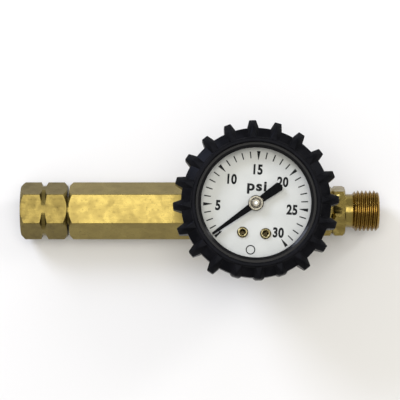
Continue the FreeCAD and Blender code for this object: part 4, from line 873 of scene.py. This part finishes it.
def dial_ring_mark():
    """A plain ring low on the dial."""
    across, up = MARK_SPOT
    build = bmesh.new()
    for k in range(MARK_STEPS):
        a = math.tau * k / MARK_STEPS
        b = math.tau * (k + 1) / MARK_STEPS
        reaches = ((MARK_INNER, a), (MARK_OUTER, a), (MARK_OUTER, b), (MARK_INNER, b))
        slab(build, [(across + r * math.cos(angle), up + r * math.sin(angle)) for r, angle in reaches])
    on_dial(build)
    show("dial_ring_mark", closed_mesh("dial_ring_mark", build), "manifold", "white_dial", INK)


rubber_boot()
outlet_thread()
bezel_ring()
pointer_hub()
dial_rivets()
bourdon_tube()
dial_scale()
dial_lettering()
dial_ring_mark()


# ---------------------------------------------------------------------------------------------------------
# Studio
# ---------------------------------------------------------------------------------------------------------
FLOOR_HALF = 3.0
CAMERA_ELEVATION = 85.5
CAMERA_DISTANCE = 0.68
CAMERA_LENS = 173.9
CAMERA_SHIFT_UP = 3.8


def studio_floor():
    """A pale floor, with its half width in metres."""
    look = Look("studio_floor")
    cloud = look.noise(90, detail=2)
    colour = look.mix(cloud, [0.74, 0.735, 0.72, 1], [0.78, 0.775, 0.76, 1])
    look.finish(Base_Color=colour, Roughness=0.75, Specular_IOR_Level=0.2)
    build = bmesh.new()
    signs = ((-1, -1), (1, -1), (1, 1), (-1, 1))
    build.faces.new([build.verts.new((x * FLOOR_HALF, y * FLOOR_HALF, 0)) for x, y in signs])
    mesh = bpy.data.meshes.new("floor")
    build.to_mesh(mesh)
    build.free()
    mesh.materials.append(look.material)
    floor = bpy.data.objects.new("floor", mesh)
    SCENE.collection.objects.link(floor)


def softbox(name, place, target, width, height, power, colour=(1, 1, 1)):
    """A soft area lamp aimed at a point. Places are in metres."""
    lamp = bpy.data.lights.new(name, "AREA")
    lamp.shape = "RECTANGLE"
    lamp.size = width
    lamp.size_y = height
    lamp.energy = power
    lamp.color = colour
    holder = bpy.data.objects.new(name, lamp)
    holder.location = place
    aim = Vector(target) - Vector(place)
    holder.rotation_mode = "QUATERNION"
    holder.rotation_quaternion = aim.to_track_quat("-Z", "Y")
    SCENE.collection.objects.link(holder)


def studio_world():
    """An even, slightly warm light from everywhere."""
    world = bpy.data.worlds.new("studio")
    SCENE.world = world
    world.use_nodes = True
    backdrop = world.node_tree.nodes["Background"]
    backdrop.inputs["Color"].default_value = (1.0, 0.98, 0.95, 1)
    backdrop.inputs["Strength"].default_value = 0.62


def camera():
    """Almost straight down on the object, as it lies on its back. Returns the point it looks at. The distance
    is in metres."""
    lowest, highest = (Vector(corner) for corner in CAD_BOX)
    target = Vector(((lowest.x + highest.x) / 2, CAMERA_SHIFT_UP * MM, AXIS_HEIGHT * MM))
    elevation = math.radians(CAMERA_ELEVATION)
    back = Vector((0, -math.cos(elevation), math.sin(elevation)))
    lens = bpy.data.cameras.new("camera")
    lens.sensor_width = 36
    lens.lens = CAMERA_LENS
    lens.clip_start = 0.01
    holder = bpy.data.objects.new("camera", lens)
    holder.location = target + back * CAMERA_DISTANCE
    holder.rotation_mode = "QUATERNION"
    holder.rotation_quaternion = (-back).to_track_quat("-Z", "Y")
    SCENE.collection.objects.link(holder)
    SCENE.camera = holder
    return target


studio_floor()
studio_world()
focus = camera()
softbox("overhead", (-0.05, 0.05, 0.95), focus, 0.55, 0.55, 4.0, (1.0, 0.97, 0.91))
softbox("key", (-0.62, 0.58, 0.60), focus, 0.34, 0.34, 6.5, (0.74, 0.80, 1.0))
softbox("rim", (0.6, 0.45, 0.5), focus, 0.12, 0.5, 1.6)
SCENE.view_settings.view_transform = "Standard"

bpy.context.view_layer.update()
